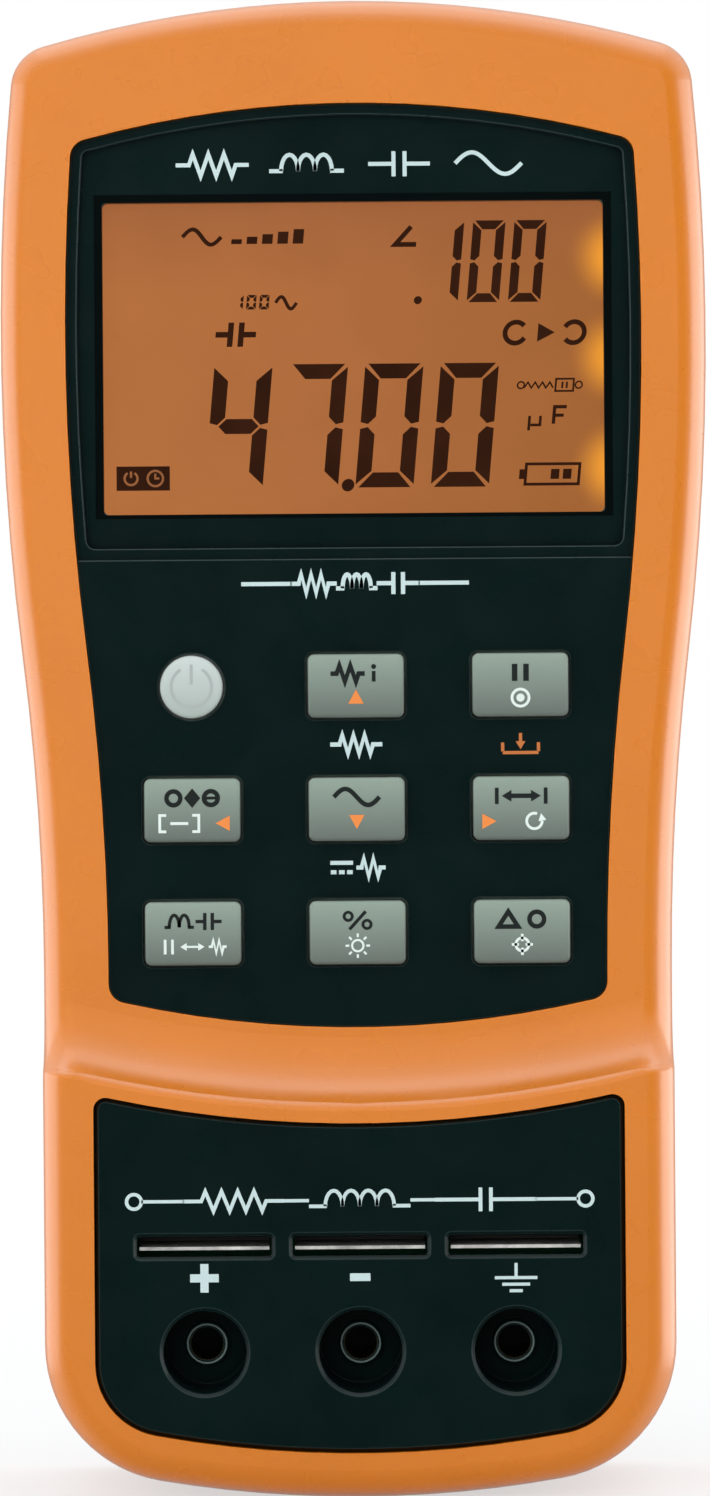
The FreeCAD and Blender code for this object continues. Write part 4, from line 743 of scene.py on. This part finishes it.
# ---------------------------------------------------------------------------------- display marks
def draw_display():
    """Generic readings and symbols on the liquid-crystal glass, leaning a little to the right."""
    middle = centre_mm("lcd_glass")[1]
    level = front_mm("lcd_glass")
    lean = 0.09

    big = Page()
    bottom = middle - 15.9
    for i, digit in enumerate("4700"):
        draw_digit(big, digit, -18.55 + 9.33 * i, bottom, 7.2, 15.3, 1.85)
    big.disc((-0.8, bottom + 0.3), 0.78)
    big.lay("lcd_main_reading", LCD_MARK, level + 0.03, "case", lean, bottom)

    small = Page()
    low = middle + 6.9
    for i, digit in enumerate("100"):
        draw_digit(small, digit, 8.95 + 5.1 * i, low, 4.0, 10.1, 1.1)
    small.disc((8.0, low + 0.3), 0.5)
    small.lay("lcd_second_reading", LCD_MARK, level + 0.03, "case", lean, low)

    signs = Page()
    draw_sine(signs, (-20.0, middle + 15.2), 4.8, 1.9, 0.5)
    for i in range(5):
        signs.bar((-16.3 + 1.9 * i, middle + 14.3), (-15.0 + 1.9 * i, middle + 14.9 + 0.3 * i))
    signs.ribbon([(6.6, middle + 14.1), (4.0, middle + 14.1), (5.8, middle + 16.3)], 0.6)
    for i, digit in enumerate("100"):
        draw_digit(signs, digit, -15.4 + 1.6 * i, middle + 6.2, 1.2, 1.8, 0.36)
    draw_sine(signs, (-8.9, middle + 7.0), 2.6, 1.5, 0.42)
    draw_capacitor(signs, (-14.8, middle + 3.1), 5.0, 3.0, 0.7)
    for i in range(2):
        signs.ring((19.8 + 7.2 * i, middle + 3.1), 1.3, 0.6, 40 + 180 * i, 330 + 180 * i)
    signs.triangle((23.5, middle + 3.1), 2.3, 270)
    draw_series_circuit(signs, (24.4, middle - 3.4))
    draw_microfarads(signs, (24.3, middle - 7.5))
    draw_battery(signs, (25.7, middle - 14.4))
    signs.lay("lcd_symbols", LCD_MARK, level + 0.03, "case", lean, middle)

    badge = Page()
    badge.bar((-29.4, middle - 16.1), (-22.8, middle - 13.1))
    badge.lay("lcd_timer_badge", LCD_MARK, level + 0.03, "case")
    inner = Page()
    row = middle - 14.6
    draw_power(inner, (-27.6, row), 0.8, 0.28)
    inner.ring((-24.6, row), 0.95, 0.28)
    inner.ribbon([(-24.6, row + 0.6), (-24.6, row), (-24.1, row)], 0.26)
    inner.lay("lcd_timer_sign", LCD_BADGE_SIGN, level + 0.05, "case")


def draw_series_circuit(page, centre):
    """A tiny resistor in line with a boxed part, between two terminals."""
    x, z = centre
    page.ring((x - 3.4, z), 0.42, 0.2)
    page.ribbon([(x - 3.0 + 0.45 * i, z + (0.35 if i % 2 else -0.35)) for i in range(9)], 0.2)
    box = [(x + 0.9, z - 0.75), (x + 3.1, z - 0.75), (x + 3.1, z + 0.75), (x + 0.9, z + 0.75)]
    page.ribbon(box, 0.24, True)
    page.bar((x + 1.6, z - 0.4), (x + 1.85, z + 0.4))
    page.bar((x + 2.15, z - 0.4), (x + 2.4, z + 0.4))
    page.ring((x + 3.75, z), 0.42, 0.2)


def draw_microfarads(page, centre):
    """The unit of the reading."""
    x, z = centre
    page.ribbon([(x - 1.9, z - 1.5), (x - 1.9, z + 0.3)], 0.34)
    page.ribbon([(x - 1.72, z - 0.83), (x - 0.55, z - 0.83), (x - 0.55, z + 0.3)], 0.34)
    page.ribbon([(x + 1.1, z - 0.7), (x + 1.1, z + 1.4), (x + 2.6, z + 1.4)], 0.42)
    page.bar((x + 1.31, z + 0.15), (x + 2.3, z + 0.55))


def draw_battery(page, centre):
    """A half-full battery lying on its side."""
    x, z = centre
    cell = [(x - 3.2, z - 1.25), (x + 3.4, z - 1.25), (x + 3.4, z + 1.25), (x - 3.2, z + 1.25)]
    page.ribbon(cell, 0.36, True)
    page.bar((x - 4.0, z - 0.6), (x - 3.38, z + 0.6))
    for i in range(2):
        page.bar((x - 0.1 + 1.5 * i, z - 0.62), (x + 0.95 + 1.5 * i, z + 0.62))


print_upper_panel()
print_terminal_panel()
print_keys()
draw_display()


# ---------------------------------------------------------------------------------- studio
WORLD_FRONT = 0.04
WORLD_BACK = 0.5
WORLD_TOP = 0.75
WORLD_SIDE = 0.5
MIDDLE = (0, 0, 0.09)
FLOOR_HALF = 0.9
FLOOR_HEIGHT = -1e-4
CAMERA_LENS = 159.5
CAMERA_SIDE = -0.00016
CAMERA_AWAY = 0.83
CAMERA_HEIGHT = 0.095
CAMERA_AIM = 0.0918
CAMERA_ROLL = 0.43


def build_world():
    """White behind the object for the camera; as light, dim in front of it and brighter all round."""
    world = bpy.data.worlds.new("studio")
    bpy.context.scene.world = world
    world.use_nodes = True
    world.node_tree.nodes.clear()
    output = world.node_tree.nodes.new("ShaderNodeOutputWorld").inputs["Surface"]
    way = add_node(world, "ShaderNodeTexCoord").outputs["Generated"]
    parts = add_node(world, "ShaderNodeSeparateXYZ", Vector=way).outputs
    behind = mapped(world, parts[1], WORLD_FRONT, WORLD_BACK, -0.5, 0.6)
    above = mapped(world, parts[2], 0.0, WORLD_TOP, 0.2, 0.8)
    across = add_node(world, "ShaderNodeMath", {"operation": "ABSOLUTE"}, i0=parts[0]).outputs[0]
    beside = mapped(world, across, 0.0, WORLD_SIDE, 0.5, 0.95)
    power = behind
    for part in (above, beside):
        power = add_node(world, "ShaderNodeMath", {"operation": "ADD"}, i0=power, i1=part).outputs[0]
    fill = add_node(world, "ShaderNodeBackground", Color=(0.94, 0.97, 1.0, 1), Strength=power)
    seen = add_node(world, "ShaderNodeBackground", Color=(1, 1, 1, 1), Strength=1.0)
    camera_ray = add_node(world, "ShaderNodeLightPath").outputs["Is Camera Ray"]
    both = add_node(world, "ShaderNodeMixShader", i0=camera_ray, i1=fill.outputs[0], i2=seen.outputs[0])
    world.node_tree.links.new(both.outputs[0], output)


def add_softbox(name, place, target, width, height, watts, mirrored=True):
    """A rectangular light; one that is not mirrored lights matt surfaces but shows in no reflection."""
    light = bpy.data.lights.new(name, "AREA")
    light.shape = "RECTANGLE"
    light.size, light.size_y = width, height
    light.energy = watts
    made = bpy.data.objects.new(name, light)
    bpy.context.scene.collection.objects.link(made)
    made.location = place
    made.rotation_mode = "QUATERNION"
    made.rotation_quaternion = (Vector(target) - Vector(place)).to_track_quat("-Z", "Y")
    made.visible_camera = False
    made.visible_glossy = mirrored


def build_floor():
    """A pale floor that fades into the white background, keeping a soft shadow near the object."""
    material, output, place = new_material("floor")
    away = add_node(material, "ShaderNodeVectorMath", {"operation": "LENGTH"}, i0=place).outputs["Value"]
    fade = mapped(material, away, 0.6, 1.0, 0.05, 0.3)
    camera_ray = add_node(material, "ShaderNodeLightPath").outputs["Is Camera Ray"]
    veil = add_node(material, "ShaderNodeMath", {"operation": "MULTIPLY"},
                    i0=fade, i1=camera_ray).outputs[0]
    grain = noise(material, place, 1.2, 3.0)
    relief = relief_normal(material, grain, 0.2, 0.02)
    paper = add_node(material, "ShaderNodeBsdfPrincipled", Base_Color=(0.86, 0.86, 0.86, 1),
                     Roughness=0.75, Normal=relief)
    white = add_node(material, "ShaderNodeEmission", Color=(1, 1, 1, 1), Strength=1.0)
    both = add_node(material, "ShaderNodeMixShader", i0=veil, i1=paper.outputs[0], i2=white.outputs[0])
    material.node_tree.links.new(both.outputs[0], output)
    corners = [(-1, -1), (1, -1), (1, 1), (-1, 1)]
    mesh = bpy.data.meshes.new("floor")
    points = [(x * FLOOR_HALF, y * FLOOR_HALF, FLOOR_HEIGHT) for x, y in corners]
    mesh.from_pydata(points, [], [(0, 1, 2, 3)])
    mesh.materials.append(material)
    floor = bpy.data.objects.new("floor", mesh)
    bpy.context.scene.collection.objects.link(floor)
    floor.visible_glossy = False


def build_camera():
    """A long lens just above the meter's middle, rolled a little, so that its height fills the frame."""
    camera = bpy.data.cameras.new("camera")
    camera.lens = CAMERA_LENS
    camera.clip_start = 0.05
    made = bpy.data.objects.new("camera", camera)
    bpy.context.scene.collection.objects.link(made)
    target = Vector((CAMERA_SIDE, 0, CAMERA_AIM))
    made.location = (CAMERA_SIDE, -CAMERA_AWAY, CAMERA_HEIGHT)
    made.rotation_mode = "QUATERNION"
    level = (target - made.location).to_track_quat("-Z", "Y")
    made.rotation_quaternion = level @ Quaternion((0, 0, 1), math.radians(-CAMERA_ROLL))
    bpy.context.scene.camera = made


build_world()
build_floor()
add_softbox("front_key", (-0.25, -1.1, 0.28), MIDDLE, 1.0, 0.6, 7.9, mirrored=False)
for name, side, watts in (("left_box", -1, 0.85), ("right_box", 1, 1.5)):
    add_softbox(name, (side * 0.5, 0.08, 0.08), (0, 0.08, 0.08), 0.74, 0.36, watts)
add_softbox("top_box", (0.0, 0.05, 0.75), (0, 0.05, 0), 0.7, 0.7, 0.9)
build_camera()
bpy.context.scene.view_settings.view_transform = "Standard"
